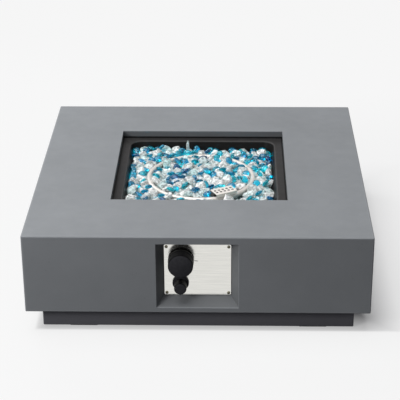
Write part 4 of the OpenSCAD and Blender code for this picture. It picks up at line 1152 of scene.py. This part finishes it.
standing_chip = add_object("standing_chip", lump_mesh(LUMP_KINDS))
spread = Matrix.Diagonal((*[half / form for half, form in zip(CHIP_HALF, LUMP_FORM)], 1.0))
standing_chip.data.transform(Matrix.Translation(CHIP_MIDDLE) @ spread)
standing_chip.data.materials.append(glass_clear)
keep(standing_chip, "glass_clear")
print("chip", len(standing_chip.data.polygons), "faces")

# %% [markdown]
# Under the two upper layers the pan is full of the same glass, of which only glints show through the gaps.
# One closed block stands for it: its top is a fine grid that rises and falls, and its finish breaks the
# surface into pale and blue crumbs with a cell pattern. Under the shield the crumbs are black: partly soot,
# partly painted shadow.

# %% Glass underneath
FILL_ROWS = 40
FILL_GAP = 4 * MM
FILL_RISE_MM = 2.5
CRUMB_STOPS = (
    (0.0, tone(30, 140, 175)),
    (0.22, tone(120, 190, 205)),
    (0.34, tone(205, 228, 230)),
    (1.0, tone(235, 243, 243)),
)


def fill_mesh(rows):
    """A block that fills the well up to an uneven top."""
    half_x, half_y = bed_half - (bed_high.z - fill_top) * WALL_DRAFT - FILL_GAP
    shell = bmesh.new()
    grid = []
    for j in range(rows + 1):
        line = []
        for i in range(rows + 1):
            x = (2 * i / rows - 1) * half_x
            y = (2 * j / rows - 1) * half_y + ring_middle[1]
            z = fill_top + rng.uniform(-FILL_RISE_MM, FILL_RISE_MM) * MM
            line.append(shell.verts.new((x, y, z)))
        grid.append(line)
    for j in range(rows):
        for i in range(rows):
            shell.faces.new((grid[j][i], grid[j][i + 1], grid[j + 1][i + 1], grid[j + 1][i]))
    rim = [e for e in shell.edges if e.is_boundary]
    made = bmesh.ops.extrude_edge_only(shell, edges=rim)["geom"]
    for vert in [v for v in made if isinstance(v, bmesh.types.BMVert)]:
        vert.co.z = bed_low.z
    bmesh.ops.holes_fill(shell, edges=[e for e in shell.edges if e.is_boundary])
    bmesh.ops.recalc_face_normals(shell, faces=shell.faces)
    return mesh_of(shell, "glass_fill")


def crumb_finish(name):
    """Crumbs of clear and blue glass, as cells with their own colour and height."""
    material, tree, skin = new_finish(name, Roughness=0.15, Transmission_Weight=0.2)
    cells = add_node(tree, "ShaderNodeTexVoronoi", Vector=object_coords(tree), Scale=75.0)
    pick = add_node(tree, "ShaderNodeSeparateColor", Color=cells.outputs["Color"]).outputs[0]
    tree.links.new(ramp(tree, pick, *CRUMB_STOPS), skin.inputs["Base Color"])
    away = math_node(tree, "MAXIMUM", *shield_offsets(tree))
    # Under the shield the crumbs turn black: partly soot, partly painted shadow.
    overlay(material, to_range(tree, away, 1.0, 0.0, SHIELD_WIDTH / 2, SHIELD_LENGTH / 2), SOOT_AND_SHADE)
    set_bump(tree, skin, cells.outputs["Distance"], 4 * MM)
    return material


glass_fill = add_object("glass_fill", fill_mesh(FILL_ROWS))
glass_fill.data.materials.append(crumb_finish("glass_crumbs"))
keep(glass_fill, "glass_fill", "fire_glass_bed")
print("fill", len(glass_fill.data.polygons), "faces")
